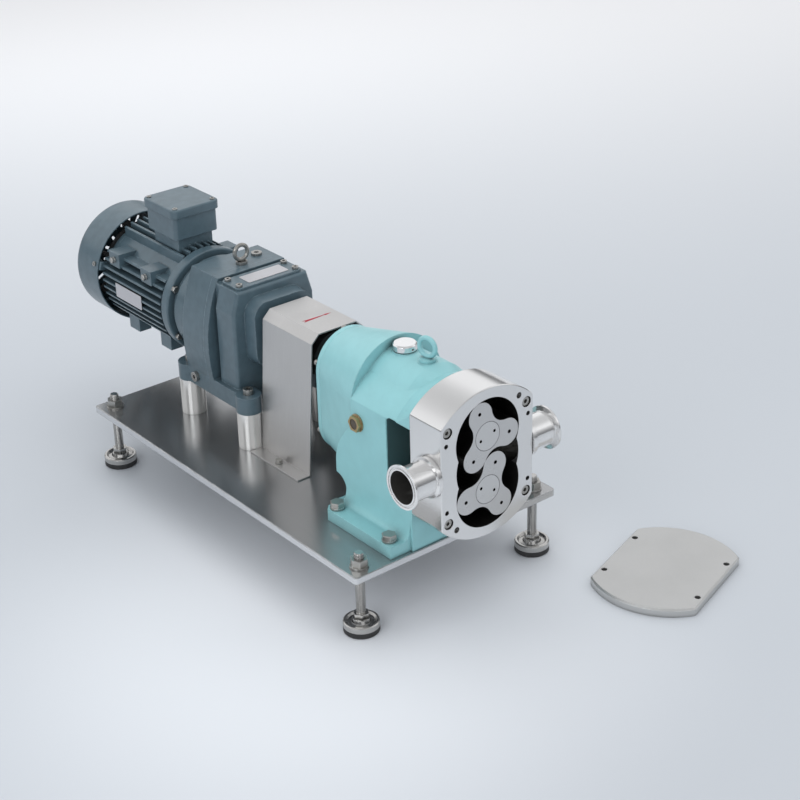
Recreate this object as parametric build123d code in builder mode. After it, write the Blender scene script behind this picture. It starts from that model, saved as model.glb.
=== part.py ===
# Rotary lobe pump set on a levelling base: three-lobe pump, timing gear case, coupling, reducer and motor.
# Frame: +X to the right of the pump face, -Y out of the pump face, +Z up, origin on the floor
# under the middle of the base plate. Millimetres.
import math
import os

from build123d import *

os.makedirs("parts", exist_ok=True)

# ---- base plate and levelling feet
plate_width = 371.0
plate_length = 689.0
plate_thickness = 10.0
plate_corner = 5.0
plate_top = 104.0
plate_bottom = plate_top - plate_thickness
foot_x = 161.0
foot_y = 321.0
stud_radius = 7.0
stud_clearance = 0.5
pad_radius = 26.0
rubber_height = 9.0
cup_height = 9.0
stud_above_nut = 9.0
nut_across_flats = 22.0
nut_height = 11.0
washer_thickness = 2.5

# ---- pump axes and running fits
centre_height = 136.8
shaft_spacing = 82.0
pump_z = plate_top + centre_height
upper_z = pump_z + shaft_spacing / 2
lower_z = pump_z - shaft_spacing / 2
running_gap = 0.05
seat_gap = 0.02

# ---- rotor casing
casing_front = -405.0
casing_depth = 64.0
casing_rear = casing_front + casing_depth
casing_radius = 113.0
casing_half_width = 82.5
casing_corner = 7.0
casing_bevel = 1.2
chamber_radius = 56.0
chamber_depth = 50.0
cover_hole_x = 73.2
cover_hole_z = 50.65
cover_thread_radius = 3.4
cover_thread_depth = 18.0
casing_screw_x = 70.2
casing_screw_z = 69.1
casing_screw_radius = 4.0
casing_screw_hole = 4.5
casing_head_radius = 6.5
casing_head_height = 8.0
casing_counterbore_radius = 8.0
casing_counterbore_depth = 10.0
dowel_x = 56.35
dowel_z = 83.4
dowel_hole_radius = 4.5
dowel_hole_depth = 14.0

# ---- ports
port_y = -380.0
port_face_x = 130.0
port_bore_radius = 23.8
port_neck_radius = 25.4
ferrule_radius = 32.0
ferrule_rim = 2.9
ferrule_taper = 2.4
port_collar_radius = 29.5
port_collar_length = 8.0
port_weld_step = 0.4
gasket_groove_inner = 0.8
gasket_groove_outer = 3.4
gasket_groove_depth = 1.2

# ---- loose front cover, lying on the floor beside the base
cover_thickness = 13.0
cover_bevel = 2.5
cover_x = 259.0
cover_y = -500.0
cover_turn = -71.5
cover_hole_radius = 4.5

# ---- three-lobe rotors
lobes = 3
lobe_tip_gap = 0.2
rotor_half_gap = 0.15
rotor_face_gap = 0.3
lower_lobe_angle = 69.4
lobe_hole_offset = 39.6
lobe_hole_radius = 2.75
lobe_hole_depth = 14.0
pocket_depth = 3.7
rotor_bore_radius = 14.0
cap_radius = 21.3
cap_thickness = 10.0
cap_pin_offset = 12.9
cap_pin_radius = 2.3
cap_pin_depth = 6.0
cap_turn_lower = -23.8
cap_turn_upper = 19.2
cap_thread_radius = 6.0
cap_thread_length = 18.0

# ---- gear case
flange_half_width = 118.5
flange_front = -337.0
flange_rear = -182.0
flange_thickness = 18.0
flange_corner = 12.0
pedestal_rear = -170.5
cove_height = 30.0
cove_width = 12.0
cove_root = 4.0
scallop_radius = 22.5
scallop_z = 138.0
window_front = casing_rear
window_rear = -289.0
window_half_height = 54.0
neck_radius = 97.5
neck_flare_length = 32.0
drum_rear = -105.0
drum_front = -212.0
drum_rear_radius = 57.5
drum_front_radius = casing_half_width
shoulder_low_z = 178.0
shoulder_high_z = 252.0
case_bolt_x = 106.0
case_bolt_front_y = -319.0
case_bolt_rear_y = -201.0
case_bolt_radius = 6.0
case_bolt_hole = 6.6
case_bolt_flats = 19.0
case_bolt_head = 8.0
rear_cover_thickness = 10.0
rear_cover_screw_ring = 52.5
drum_overlap = 2.0
ridge_radius = 60.0
ridge_front = -296.0
ridge_end = -326.0
timing_chamber_radius = 47.5
timing_chamber_front = -143.0
neck_top = pump_z + neck_radius
boss_root = 6.0
casing_screw_grip = 20.0
rear_cover_screw_radius = 2.5
rear_cover_screw_grip = 6.0
filler_y = -232.0
boss_seat = 350.0
filler_boss_radius = 19.0
filler_thread_radius = 10.0
filler_thread_depth = 16.0
filler_cap_radius = 17.5
filler_cap_height = 11.0
filler_vent_radius = 1.6
eye_y = -281.0
eye_boss_radius = 14.0
eye_shank_radius = 5.0
eye_shank_depth = 16.0
eye_turn = 12.0
eye_ring_radius = 17.0
eye_wire_radius = 3.5
eye_collar_radius = 12.0
eye_collar = 4.5
sight_y = -225.0
sight_z = 260.5
sight_flats = 21.5
sight_height = 6.0
sight_lens_radius = 8.0
sight_lens_depth = 3.0
sight_thread_radius = 9.0
sight_thread_depth = 8.0

# ---- pump shafts, bearings, timing gears, seals
journal_radius = 17.5
pump_bearing_radius = 36.0
pump_bearing_width = 21.0
front_bearing_front = window_rear + 4.0
rear_bearing_rear = timing_chamber_front - 2.0
bearing_tunnel_radius = 32.0
timing_teeth = 20
timing_width = 26.0
timing_rear = drum_rear - 8.0
gear_backlash = 0.3
seal_radius = 27.0
seal_length = 26.0
seal_seat_depth = 8.0
seal_throat_radius = 22.0
timing_bore_radius = 16.0
coupling_shaft_radius = 14.0
lip_seal_radius = 21.0

# ---- coupling and its guard
coupling_radius = 40.0
coupling_bore = 14.0
hub_length = 34.0
jaw_length = 16.0
jaw_count = 3
jaw_inner_radius = 17.0
jaw_gap = 0.4
jaw_angle = 38.0
coupling_front = -70.0
guard_front = -76.0
guard_rear = 46.0
guard_foot_x = 63.0
guard_shoulder_x = 47.2
guard_shoulder_z = 316.6
guard_top_x = 34.0
guard_top_z = 329.2
guard_flange_x = 85.8
guard_sheet = 2.0
guard_screw_x = 75.0
guard_screw_y = -13.0
guard_screw_radius = 3.0

# ---- posts and reducer
post_radius = 20.0
post_x = 70.0
post_front_y = 66.0
post_rear_y = 226.0
post_top = 164.0
rail_height = 28.0
rail_side = 83.0
post_screw_radius = 5.0
housing_front = 85.0
housing_groove = 131.0
housing_step = 141.0
housing_split = 155.0
housing_rear = 212.0
housing_half_width = 75.0
housing_groove_half_width = 66.0
housing_shoulder_z = 315.0
housing_top_half_width = 65.0
housing_low_top = 350.0
housing_top = housing_low_top + 6.0
barrel_half_width = 88.0
barrel_radius = 256.0
barrel_mid_z = 243.0
housing_wall = 12.0
housing_edge = 5.0
web_front = 130.0
web_rear = 142.0
boss_front = 60.0
boss_half_width = 55.0
boss_corner = 26.0
adaptor_radius = 80.0
adaptor_rear = housing_rear + 42.0
reducer_module = 2.0
output_teeth = 51
lay_pinion_teeth = 17
lay_wheel_teeth = 35
motor_pinion_teeth = 15
lay_z = upper_z - reducer_module * (output_teeth + lay_pinion_teeth) / 2
motor_z = lay_z + reducer_module * (lay_wheel_teeth + motor_pinion_teeth) / 2
output_gear_front = 104.0
output_gear_width = 20.0
lay_wheel_front = 166.0
lay_wheel_width = 16.0
output_shaft_radius = 15.0
output_bearing_radius = 26.0
output_bearing_width = 15.0
lay_shaft_radius = 8.5
lay_bearing_radius = 17.5
lay_bearing_width = 9.0
boss_lip = 6.0
reducer_seal_radius = 22.0
output_web_bearing_radius = 24.0
lay_web_hole_radius = 12.0
inspection_half_width = 60.0
inspection_thickness = 4.0
inspection_inset = 5.0
inspection_screw_inset = 8.0
nameplate_x = 4.0
nameplate_length = 74.0
nameplate_width = 28.0
adaptor_bore_radius = 60.0
pinion_opening_radius = 24.0
reducer_eye_y = 166.5
foot_plug_y = 190.0
foot_plug_z = 181.0
foot_plug_radius = 8.0
foot_plug_depth = 8.0
top_plug_x = 38.0
top_plug_y = 181.0

# ---- motor
motor_ring_front = adaptor_rear + 3.0
motor_ring_rear = 276.0
motor_ring_radius = 87.0
frame_rear = 452.0
frame_radius = 74.0
frame_bore = 68.0
fin_radius = 88.0
fin_thickness = 3.2
fin_pitch = 12.0
stator_front = motor_ring_rear + 24.0
stator_rear = frame_rear - 42.0
stator_bore = 46.0
air_gap = 0.5
motor_shaft_radius = 12.0
motor_bearing_radius = 26.0
motor_bearing_width = 15.0
motor_rear_bearing_width = 8.0
shaft_clearance = 1.0
end_shield_plate = 8.0
end_shield_spigot = 6.0
cowl_front = frame_rear + 5.0
cowl_rear = 530.0
cowl_radius = 95.0
cowl_wall = 2.0
cowl_edge = 12.0
cowl_screws = 4
cowl_screw_angle = 75.0
cowl_screw_inset = 10.0
cowl_lug_width = 14.0
cowl_lug_length = 18.0
fan_clearance = 2.5
fan_front = cowl_front + 9.0
fan_width = 34.0
fan_radius = 82.0
fan_blades = 7
fan_hub_radius = 22.0
box_half_width = 40.0
box_front = 288.0
box_rear = 374.0
box_bottom = 367.0
box_height = 37.0
box_top = box_bottom + box_height
box_wall = 4.0
box_corner = 7.0
saddle_height = 39.0
saddle_inset = 8.0
lid_overhang = 4.0
lid_thickness = 14.0
lid_bevel = 3.0
lid_corner = 11.0
lid_screw_inset = 5.0
lid_screw_head_radius = 4.0
lid_screw_head = 1.5
motor_plate_y = 371.0
pad_low = 34.0
pad_high = 58.0
pad_reach = 84.0
pad_depth = 34.0
pad_length = 30.0
foot_pad_low = 78.0
foot_pad_height = 24.0
foot_pad_x = 56.0
foot_pad_width = 22.0
foot_pad_shift = 16.0
pad_front_y = 318.0
pad_rear_y = 414.0

# ---- hole patterns shared by the pieces that they join
casing_screw_places = [(sx * casing_screw_x, sz * casing_screw_z) for sx in (-1, 1) for sz in (-1, 1)]
cover_hole_places = [(sx * cover_hole_x, sz * cover_hole_z) for sx in (-1, 1) for sz in (-1, 1)]
dowel_places = [(dowel_x, dowel_z), (-dowel_x, -dowel_z)]
rear_cover_screw_places = [
    (rear_cover_screw_ring * math.cos(math.radians(turn)), z + rear_cover_screw_ring * math.sin(math.radians(turn)))
    for z, turns in ((upper_z, (15, 90, 165)), (lower_z, (195, 270, 345)))
    for turn in turns
]


def station(y):
    # Upright plane across the pump at y: local x is +X, local y is +Z, and extrusion runs to -Y.
    return Plane(origin=(0, y, 0), x_dir=(1, 0, 0), z_dir=(0, -1, 0))


def side_plane(x):
    # Upright plane along the pump at x: local x is +Y, local y is +Z, and extrusion runs to +X.
    return Plane(origin=(x, 0, 0), x_dir=(0, 1, 0), z_dir=(1, 0, 0))


def polar(radius, degrees):
    angle = math.radians(degrees)
    return Vector(radius * math.cos(angle), radius * math.sin(angle))


def finish(piece, name):
    piece.part.label = name
    export_step(piece.part, f"parts/{name}.step")


def round_bar(z, radius, front, rear, x=0.0):
    # Adds a cylinder along Y to the part being built.
    with BuildSketch(station(rear)) as disc:
        with Locations((x, z)):
            Circle(radius)
    extrude(disc.sketch, amount=rear - front)


def round_cut(z, radius, front, rear, x=0.0):
    with BuildSketch(station(rear)) as disc:
        with Locations((x, z)):
            Circle(radius)
    extrude(disc.sketch, amount=rear - front, mode=Mode.SUBTRACT)


def round_ring(z, outer, inner, front, rear, x=0.0):
    with BuildSketch(station(rear)) as annulus:
        with Locations((x, z)):
            Circle(outer)
            Circle(inner, mode=Mode.SUBTRACT)
    extrude(annulus.sketch, amount=rear - front)


def hex_bolt(flats, head, washer=0.0, shank_radius=0.0, shank=0.0):
    # Head above the local XY plane, shank below it, washer between them.
    with BuildPart() as bolt:
        if washer:
            Cylinder(flats * 0.56, washer, align=(Align.CENTER, Align.CENTER, Align.MIN))
        with BuildSketch(Plane.XY.offset(washer)):
            RegularPolygon(flats / 2, 6, major_radius=False)
        extrude(amount=head)
        top = bolt.faces().sort_by(Axis.Z)[-1]
        chamfer(top.edges(), head * 0.12)
        if shank:
            Cylinder(shank_radius, shank, align=(Align.CENTER, Align.CENTER, Align.MAX))
    return bolt.part


def socket_screw(head_radius, head, shank_radius=0.0, shank=0.0):
    # Cylinder head above the local XY plane with a hexagon socket, shank below it.
    with BuildPart() as screw:
        Cylinder(head_radius, head, align=(Align.CENTER, Align.CENTER, Align.MIN))
        if shank:
            Cylinder(shank_radius, shank, align=(Align.CENTER, Align.CENTER, Align.MAX))
        with BuildSketch(Plane.XY.offset(head)):
            RegularPolygon(head_radius * 0.5, 6)
        extrude(amount=-head * 0.5, mode=Mode.SUBTRACT)
    return screw.part


def lifting_eye(ring_radius, wire_radius, collar_radius, collar, shank_radius, shank):
    # Eye standing in the local XZ plane on a collar whose seat is the local XY plane.
    centre = collar + ring_radius - wire_radius * 0.3
    with BuildPart() as eye:
        with BuildSketch(Plane.XY.offset(centre)):
            with Locations((ring_radius - wire_radius, 0)):
                Circle(wire_radius)
        revolve(axis=Axis((0, 0, centre), (0, 1, 0)))
        Cylinder(collar_radius, collar, align=(Align.CENTER, Align.CENTER, Align.MIN))
        Cylinder(shank_radius, shank, align=(Align.CENTER, Align.CENTER, Align.MAX))
    return eye.part


def spur_gear(module, teeth, tooth_angle):
    # Adds the outline of a gear with 20 degree involute flanks; one tooth points at tooth_angle.
    pitch = module * teeth / 2
    base = pitch * math.cos(math.radians(20))
    root = pitch - 1.25 * module
    tip = pitch + module
    start = max(base, root)

    def half_angle(radius):
        pressure = math.acos(min(1.0, base / radius))
        involute = math.tan(pressure) - pressure
        at_pitch = math.tan(math.radians(20)) - math.radians(20)
        half_tooth = math.pi / (2 * teeth) - gear_backlash / (4 * pitch)
        return math.degrees(half_tooth + at_pitch - involute)

    with BuildLine() as outline:
        for tooth in range(teeth):
            centre = tooth_angle + 360 / teeth * tooth
            following = centre + 360 / teeth
            middle = (start + tip) / 2
            if base > root:
                Line(polar(root, centre - half_angle(base)), polar(base, centre - half_angle(base)))
                Line(polar(base, centre + half_angle(base)), polar(root, centre + half_angle(base)))
            ThreePointArc(
                polar(start, centre - half_angle(start)),
                polar(middle, centre - half_angle(middle)),
                polar(tip, centre - half_angle(tip)),
            )
            Line(polar(tip, centre - half_angle(tip)), polar(tip, centre + half_angle(tip)))
            ThreePointArc(
                polar(tip, centre + half_angle(tip)),
                polar(middle, centre + half_angle(middle)),
                polar(start, centre + half_angle(start)),
            )
            Line(polar(root, centre + half_angle(start)), polar(root, following - half_angle(start)))
    make_face(outline.edges())


def stadium(radius):
    # Adds the outline round both pump axes.
    SlotCenterToCenter(shaft_spacing, 2 * radius, rotation=90)


def barrel(half_width, top, bottom):
    # Adds a section with bowed sides, a flat top and a flat bottom.
    offset_x = barrel_radius - half_width
    with Locations((offset_x, barrel_mid_z)):
        Circle(barrel_radius)
    with Locations((-offset_x, barrel_mid_z)):
        Circle(barrel_radius, mode=Mode.INTERSECT)
    with Locations((0, (top + bottom) / 2)):
        Rectangle(4 * half_width, top - bottom, mode=Mode.INTERSECT)


# ================================================================ base plate
foot_places = [(sx * foot_x, sy * foot_y) for sx in (-1, 1) for sy in (-1, 1)]
case_bolt_places = [(sx * case_bolt_x, y) for sx in (-1, 1) for y in (case_bolt_front_y, case_bolt_rear_y)]
post_places = [(sx * post_x, y) for sx in (-1, 1) for y in (post_front_y, post_rear_y)]
guard_screw_places = [(sx * guard_screw_x, guard_screw_y) for sx in (-1, 1)]

with BuildPart() as base_plate:
    with BuildSketch(Plane.XY.offset(plate_bottom)):
        RectangleRounded(plate_width, plate_length, plate_corner)
        with Locations(*foot_places):
            Circle(stud_radius + stud_clearance, mode=Mode.SUBTRACT)
        with Locations(*case_bolt_places):
            Circle(case_bolt_hole, mode=Mode.SUBTRACT)
        with Locations(*post_places):
            Circle(post_screw_radius + 0.3, mode=Mode.SUBTRACT)
        with Locations(*guard_screw_places):
            Circle(guard_screw_radius + 0.2, mode=Mode.SUBTRACT)
    extrude(amount=plate_thickness)
    chamfer(base_plate.faces().sort_by(Axis.Z)[-1].outer_wire().edges(), 0.8)
finish(base_plate, "base_plate")

with BuildPart() as levelling_nuts:
    for x, y in foot_places:
        with BuildSketch(Plane.XY.offset(plate_top)):
            with Locations((x, y)):
                Circle(nut_across_flats * 0.62)
                Circle(stud_radius + stud_clearance, mode=Mode.SUBTRACT)
        extrude(amount=washer_thickness)
        with BuildSketch(Plane.XY.offset(plate_top + washer_thickness)):
            with Locations((x, y)):
                RegularPolygon(nut_across_flats / 2, 6, major_radius=False)
                Circle(stud_radius + stud_clearance, mode=Mode.SUBTRACT)
        extrude(amount=nut_height)
finish(levelling_nuts, "levelling_nuts")

# Each foot: a rubber pad, and a steel cup swaged onto the stud's ball end.
stud_end = plate_top + washer_thickness + nut_height + stud_above_nut
cup_top = rubber_height + cup_height
foot_names = ["front_left", "rear_left", "front_right", "rear_right"]
for (x, y), place in zip(foot_places, foot_names):
    with BuildPart() as foot_pad:
        with BuildSketch(Plane.XY):
            with Locations((x, y)):
                Circle(pad_radius)
        extrude(amount=rubber_height)
        chamfer(foot_pad.faces().sort_by(Axis.Z)[0].edges(), 1.5)
    finish(foot_pad, f"foot_pad_{place}")

    with BuildPart() as foot_stud:
        with BuildSketch(Plane(origin=(x, y, rubber_height), x_dir=(1, 0, 0), z_dir=(0, -1, 0))):
            Polygon(
                (0, 0),
                (pad_radius, 0),
                (pad_radius, cup_height - 1.5),
                (pad_radius - 1.5, cup_height),
                (pad_radius - 4, cup_height),
                (pad_radius - 7, cup_height - 3),
                (14, cup_height - 2),
                (12, cup_height + 2.5),
                (0, cup_height + 2.5),
                align=None,
            )
        revolve(axis=Axis((x, y, 0), (0, 0, 1)))
        with BuildSketch(Plane.XY.offset(cup_top + 2.5)):
            with Locations((x, y)):
                RegularPolygon(nut_across_flats / 2 - 1, 6, major_radius=False)
        extrude(amount=9)
        with BuildSketch(Plane.XY.offset(cup_top)):
            with Locations((x, y)):
                Circle(stud_radius)
        extrude(amount=stud_end - cup_top)
        chamfer(foot_stud.faces().sort_by(Axis.Z)[-1].edges(), 1.2)
    finish(foot_stud, f"foot_stud_{place}")

# ================================================================ gear case
with BuildPart() as gear_case:
    # Foot flange with cut rear corners.
    with BuildSketch(Plane.XY.offset(plate_top)) as flange_sketch:
        with Locations((0, (flange_front + flange_rear) / 2)):
            Rectangle(2 * flange_half_width, flange_rear - flange_front)
        chamfer(flange_sketch.vertices().group_by(Axis.Y)[-1], flange_corner)
    extrude(amount=flange_thickness)
    # Pedestal, whose upper rear corner sweeps forward into the drum, and the neck.
    with BuildSketch(side_plane(-casing_half_width)):
        with BuildLine():
            Polyline(
                (drum_front, shoulder_high_z),
                (casing_rear, shoulder_high_z),
                (casing_rear, plate_top),
                (pedestal_rear, plate_top),
                (pedestal_rear, shoulder_low_z),
            )
            Bezier(
                (pedestal_rear, shoulder_low_z),
                (pedestal_rear, (shoulder_low_z + shoulder_high_z) / 2),
                (drum_front, shoulder_high_z),
            )
        make_face()
    extrude(amount=2 * casing_half_width)
    with BuildSketch(station(drum_front + drum_overlap)):
        with Locations((0, pump_z)):
            Circle(neck_radius)
            Rectangle(2 * casing_half_width, 2 * neck_radius, mode=Mode.INTERSECT)
    extrude(amount=drum_front + drum_overlap - casing_rear)
    # Low ridge along the top that carries the cap and the eye, run out towards the casing.
    ridge_z = boss_seat - ridge_radius
    round_bar(ridge_z, ridge_radius, ridge_front, drum_front + drum_overlap)
    with BuildSketch(station(ridge_front)):
        with Locations((0, ridge_z)):
            Circle(ridge_radius)
    with BuildSketch(station(ridge_end)):
        with Locations((0, ridge_z)):
            Circle(neck_top - ridge_z)
    loft()
    # The neck flares to the casing's outline.
    with BuildSketch(station(casing_rear + neck_flare_length)):
        with Locations((0, pump_z)):
            Circle(neck_radius)
            Rectangle(2 * casing_half_width, 2 * casing_radius, mode=Mode.INTERSECT)
    with BuildSketch(station(casing_rear)):
        with Locations((0, pump_z)):
            Circle(casing_radius - casing_bevel)
            Rectangle(2 * casing_half_width, 2 * casing_radius, mode=Mode.INTERSECT)
    loft()
    # Tapered drum round both axes, widest at its front rim.
    with BuildSketch(station(drum_rear)):
        with Locations((0, pump_z)):
            stadium(drum_rear_radius)
    with BuildSketch(station(drum_front)):
        with Locations((0, pump_z)):
            stadium(drum_front_radius)
    loft()
    # Round cove between the pedestal's walls and the flange.
    for side in (-1, 1):
        corner_x = side * casing_half_width
        corner_z = plate_top + flange_thickness
        with BuildSketch(station(pedestal_rear - scallop_radius)):
            with BuildLine():
                Bezier(
                    (corner_x, corner_z + cove_height),
                    (corner_x, corner_z),
                    (corner_x + side * cove_width, corner_z),
                )
                Polyline(
                    (corner_x + side * cove_width, corner_z),
                    (corner_x + side * cove_width, corner_z - cove_root),
                    (corner_x - side * cove_root, corner_z - cove_root),
                    (corner_x - side * cove_root, corner_z + cove_height),
                    (corner_x, corner_z + cove_height),
                )
            make_face()
        extrude(amount=pedestal_rear - scallop_radius - flange_front)
    # Round notch at the foot of the pedestal's rear edge.
    with BuildSketch(side_plane(-flange_half_width)):
        with Locations((pedestal_rear, scallop_z)):
            Circle(scallop_radius)
    extrude(amount=2 * flange_half_width, mode=Mode.SUBTRACT)
    # Side windows to the shaft seals, open to the casing's rear face.
    with BuildSketch(side_plane(-flange_half_width)) as window_sketch:
        with Locations(((window_front + window_rear) / 2, pump_z)):
            Rectangle(window_rear - window_front, 2 * window_half_height)
        fillet(window_sketch.vertices().group_by(Axis.X)[-1], 8)
    extrude(amount=2 * flange_half_width, mode=Mode.SUBTRACT)
    # Bearing tunnels, bearing seats and the timing gear chamber.
    for z in (lower_z, upper_z):
        round_cut(z, seal_radius + 1, casing_rear, window_rear)
        round_cut(z, bearing_tunnel_radius, window_rear - 1, drum_rear)
        round_cut(z, pump_bearing_radius, window_rear - 1, front_bearing_front + pump_bearing_width)
        round_cut(z, pump_bearing_radius, rear_bearing_rear - pump_bearing_width, drum_rear)
    with BuildSketch(station(drum_rear)):
        with Locations((0, pump_z)):
            stadium(timing_chamber_radius)
    extrude(amount=drum_rear - timing_chamber_front, mode=Mode.SUBTRACT)
    # Flange bolt holes, tapped holes for the casing screws, the cap, the eye and the sight glass.
    with BuildSketch(Plane.XY.offset(plate_top)):
        with Locations(*case_bolt_places):
            Circle(case_bolt_hole)
    extrude(amount=flange_thickness, mode=Mode.SUBTRACT)
    with BuildSketch(station(casing_rear)):
        with Locations((0, pump_z)):
            with Locations(*casing_screw_places):
                Circle(casing_screw_radius + seat_gap)
    extrude(amount=-casing_screw_grip, mode=Mode.SUBTRACT)
    with BuildSketch(station(drum_rear)):
        with Locations(*rear_cover_screw_places):
            Circle(rear_cover_screw_radius + seat_gap)
    extrude(amount=rear_cover_screw_grip, mode=Mode.SUBTRACT)
    for y, seat, boss_radius, hole, depth in (
        (filler_y, boss_seat, filler_boss_radius, filler_thread_radius, filler_thread_depth),
        (eye_y, boss_seat, eye_boss_radius, eye_shank_radius, eye_shank_depth),
    ):
        with BuildSketch(Plane.XY.offset(seat)):
            with Locations((0, y)):
                Circle(boss_radius)
        extrude(amount=-(seat - neck_top + boss_root))
        with BuildSketch(Plane.XY.offset(seat)):
            with Locations((0, y)):
                Circle(hole + seat_gap)
        extrude(amount=-depth, mode=Mode.SUBTRACT)
    with BuildSketch(side_plane(-casing_half_width)):
        with Locations((sight_y, sight_z)):
            Circle(sight_thread_radius + seat_gap)
    extrude(amount=sight_thread_depth, mode=Mode.SUBTRACT)
finish(gear_case, "gear_case")

with BuildPart() as rear_bearing_cover:
    with BuildSketch(station(drum_rear + rear_cover_thickness)):
        with Locations((0, pump_z)):
            stadium(drum_rear_radius)
    extrude(amount=rear_cover_thickness)
    chamfer(rear_bearing_cover.faces().sort_by(Axis.Y)[-1].outer_wire().edges(), 2.0)
    round_bar(upper_z, lip_seal_radius + 7, drum_rear, drum_rear + rear_cover_thickness + 5)
    round_cut(upper_z, lip_seal_radius, drum_rear, drum_rear + rear_cover_thickness + 5)
    with BuildSketch(station(drum_rear + rear_cover_thickness)):
        with Locations(*rear_cover_screw_places):
            Circle(rear_cover_screw_radius + 0.3)
    extrude(amount=rear_cover_thickness, mode=Mode.SUBTRACT)
finish(rear_bearing_cover, "rear_bearing_cover")

with BuildPart() as shaft_lip_seal:
    round_ring(
        upper_z, lip_seal_radius, coupling_shaft_radius + running_gap, drum_rear + 2, drum_rear + rear_cover_thickness + 4
    )
finish(shaft_lip_seal, "shaft_lip_seal")

with BuildPart() as sight_glass_ring:
    with BuildSketch(side_plane(-casing_half_width)):
        with Locations((sight_y, sight_z)):
            Circle(sight_flats * 0.62)
    extrude(amount=-1.5)
    with BuildSketch(side_plane(-casing_half_width - 1.5)):
        with Locations((sight_y, sight_z)):
            RegularPolygon(sight_flats / 2, 6, major_radius=False)
    extrude(amount=-sight_height)
    with BuildSketch(side_plane(-casing_half_width - 1.5)):
        with Locations((sight_y, sight_z)):
            Circle(sight_thread_radius)
    extrude(amount=sight_thread_depth)
    with BuildSketch(side_plane(-casing_half_width - 1.5 - sight_height)):
        with Locations((sight_y, sight_z)):
            Circle(sight_lens_radius + seat_gap)
    extrude(amount=sight_lens_depth + 1.0, mode=Mode.SUBTRACT)
finish(sight_glass_ring, "sight_glass_ring")

with BuildPart() as sight_glass_lens:
    with BuildSketch(side_plane(-casing_half_width - 0.5 - sight_height)):
        with Locations((sight_y, sight_z)):
            Circle(sight_lens_radius)
    extrude(amount=sight_lens_depth)
finish(sight_glass_lens, "sight_glass_lens")

with BuildPart() as filler_cap:
    with BuildSketch(Plane(origin=(0, filler_y, boss_seat), x_dir=(1, 0, 0), z_dir=(0, -1, 0))):
        Polygon(
            (0, -filler_thread_depth + 2),
            (filler_thread_radius, -filler_thread_depth + 2),
            (filler_thread_radius, 0),
            (filler_cap_radius - 1.5, 0),
            (filler_cap_radius, 1.5),
            (filler_cap_radius, filler_cap_height - 2),
            (filler_cap_radius - 2, filler_cap_height),
            (0, filler_cap_height),
            align=None,
        )
    revolve(axis=Axis((0, filler_y, 0), (0, 0, 1)))
    vent_height = boss_seat + filler_cap_height * 0.45
    with BuildSketch(Plane(origin=(0, filler_y, vent_height), x_dir=(1, 0, 0), z_dir=(0, -1, 0))):
        Circle(filler_vent_radius)
    extrude(amount=filler_cap_radius, mode=Mode.SUBTRACT)
finish(filler_cap, "filler_cap")

with BuildPart() as pump_lifting_eye:
    with Locations(Location((0, eye_y, boss_seat), (0, 0, 90 + eye_turn))):
        add(lifting_eye(eye_ring_radius, eye_wire_radius, eye_collar_radius, eye_collar, eye_shank_radius, eye_shank_depth - 2))
finish(pump_lifting_eye, "pump_lifting_eye")

# ================================================================ rotor casing
cusp_z = shaft_spacing / 4
cusp_x = math.sqrt(chamber_radius**2 - (shaft_spacing / 2 - cusp_z) ** 2)
pocket_x = cusp_x + pocket_depth
with BuildPart() as rotor_casing:
    with BuildSketch(station(casing_rear)) as casing_sketch:
        with Locations((0, pump_z)):
            Circle(casing_radius)
            Rectangle(2 * casing_half_width, 2 * casing_radius, mode=Mode.INTERSECT)
        fillet(casing_sketch.vertices(), casing_corner)
    extrude(amount=casing_depth)
    chamfer(rotor_casing.faces().sort_by(Axis.Y)[0].outer_wire().edges(), casing_bevel)
    # Two-bore chamber, with a shallow port pocket on each side.
    with BuildSketch(station(casing_front + chamber_depth)):
        with Locations((0, lower_z), (0, upper_z)):
            Circle(chamber_radius)
        with BuildLine():
            ThreePointArc((cusp_x, pump_z + cusp_z), (pocket_x, pump_z), (cusp_x, pump_z - cusp_z))
            Line((cusp_x, pump_z - cusp_z), (-cusp_x, pump_z - cusp_z))
            ThreePointArc((-cusp_x, pump_z - cusp_z), (-pocket_x, pump_z), (-cusp_x, pump_z + cusp_z))
            Line((-cusp_x, pump_z + cusp_z), (cusp_x, pump_z + cusp_z))
        make_face()
    extrude(amount=chamber_depth, mode=Mode.SUBTRACT)
    with BuildSketch(side_plane(-casing_half_width)):
        with Locations((port_y, pump_z)):
            Circle(port_bore_radius + port_weld_step)
    extrude(amount=2 * casing_half_width, mode=Mode.SUBTRACT)
    for z in (lower_z, upper_z):
        round_cut(z, seal_radius + seat_gap, casing_rear - seal_seat_depth, casing_rear)
        round_cut(z, seal_throat_radius, casing_front + chamber_depth, casing_rear)
    # Face holes: cover threads, dowel holes, and counterbored holes right through.
    with BuildSketch(station(casing_front + cover_thread_depth)):
        with Locations((0, pump_z)):
            with Locations(*cover_hole_places):
                Circle(cover_thread_radius)
    extrude(amount=cover_thread_depth, mode=Mode.SUBTRACT)
    with BuildSketch(station(casing_front + dowel_hole_depth)):
        with Locations((0, pump_z)):
            with Locations(*dowel_places):
                Circle(dowel_hole_radius)
    extrude(amount=dowel_hole_depth, mode=Mode.SUBTRACT)
    with BuildSketch(station(casing_rear)):
        with Locations((0, pump_z)):
            with Locations(*casing_screw_places):
                Circle(casing_screw_hole)
    extrude(amount=casing_depth, mode=Mode.SUBTRACT)
    with BuildSketch(station(casing_front + casing_counterbore_depth)):
        with Locations((0, pump_z)):
            with Locations(*casing_screw_places):
                Circle(casing_counterbore_radius)
    extrude(amount=casing_counterbore_depth, mode=Mode.SUBTRACT)
finish(rotor_casing, "rotor_casing")

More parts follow.
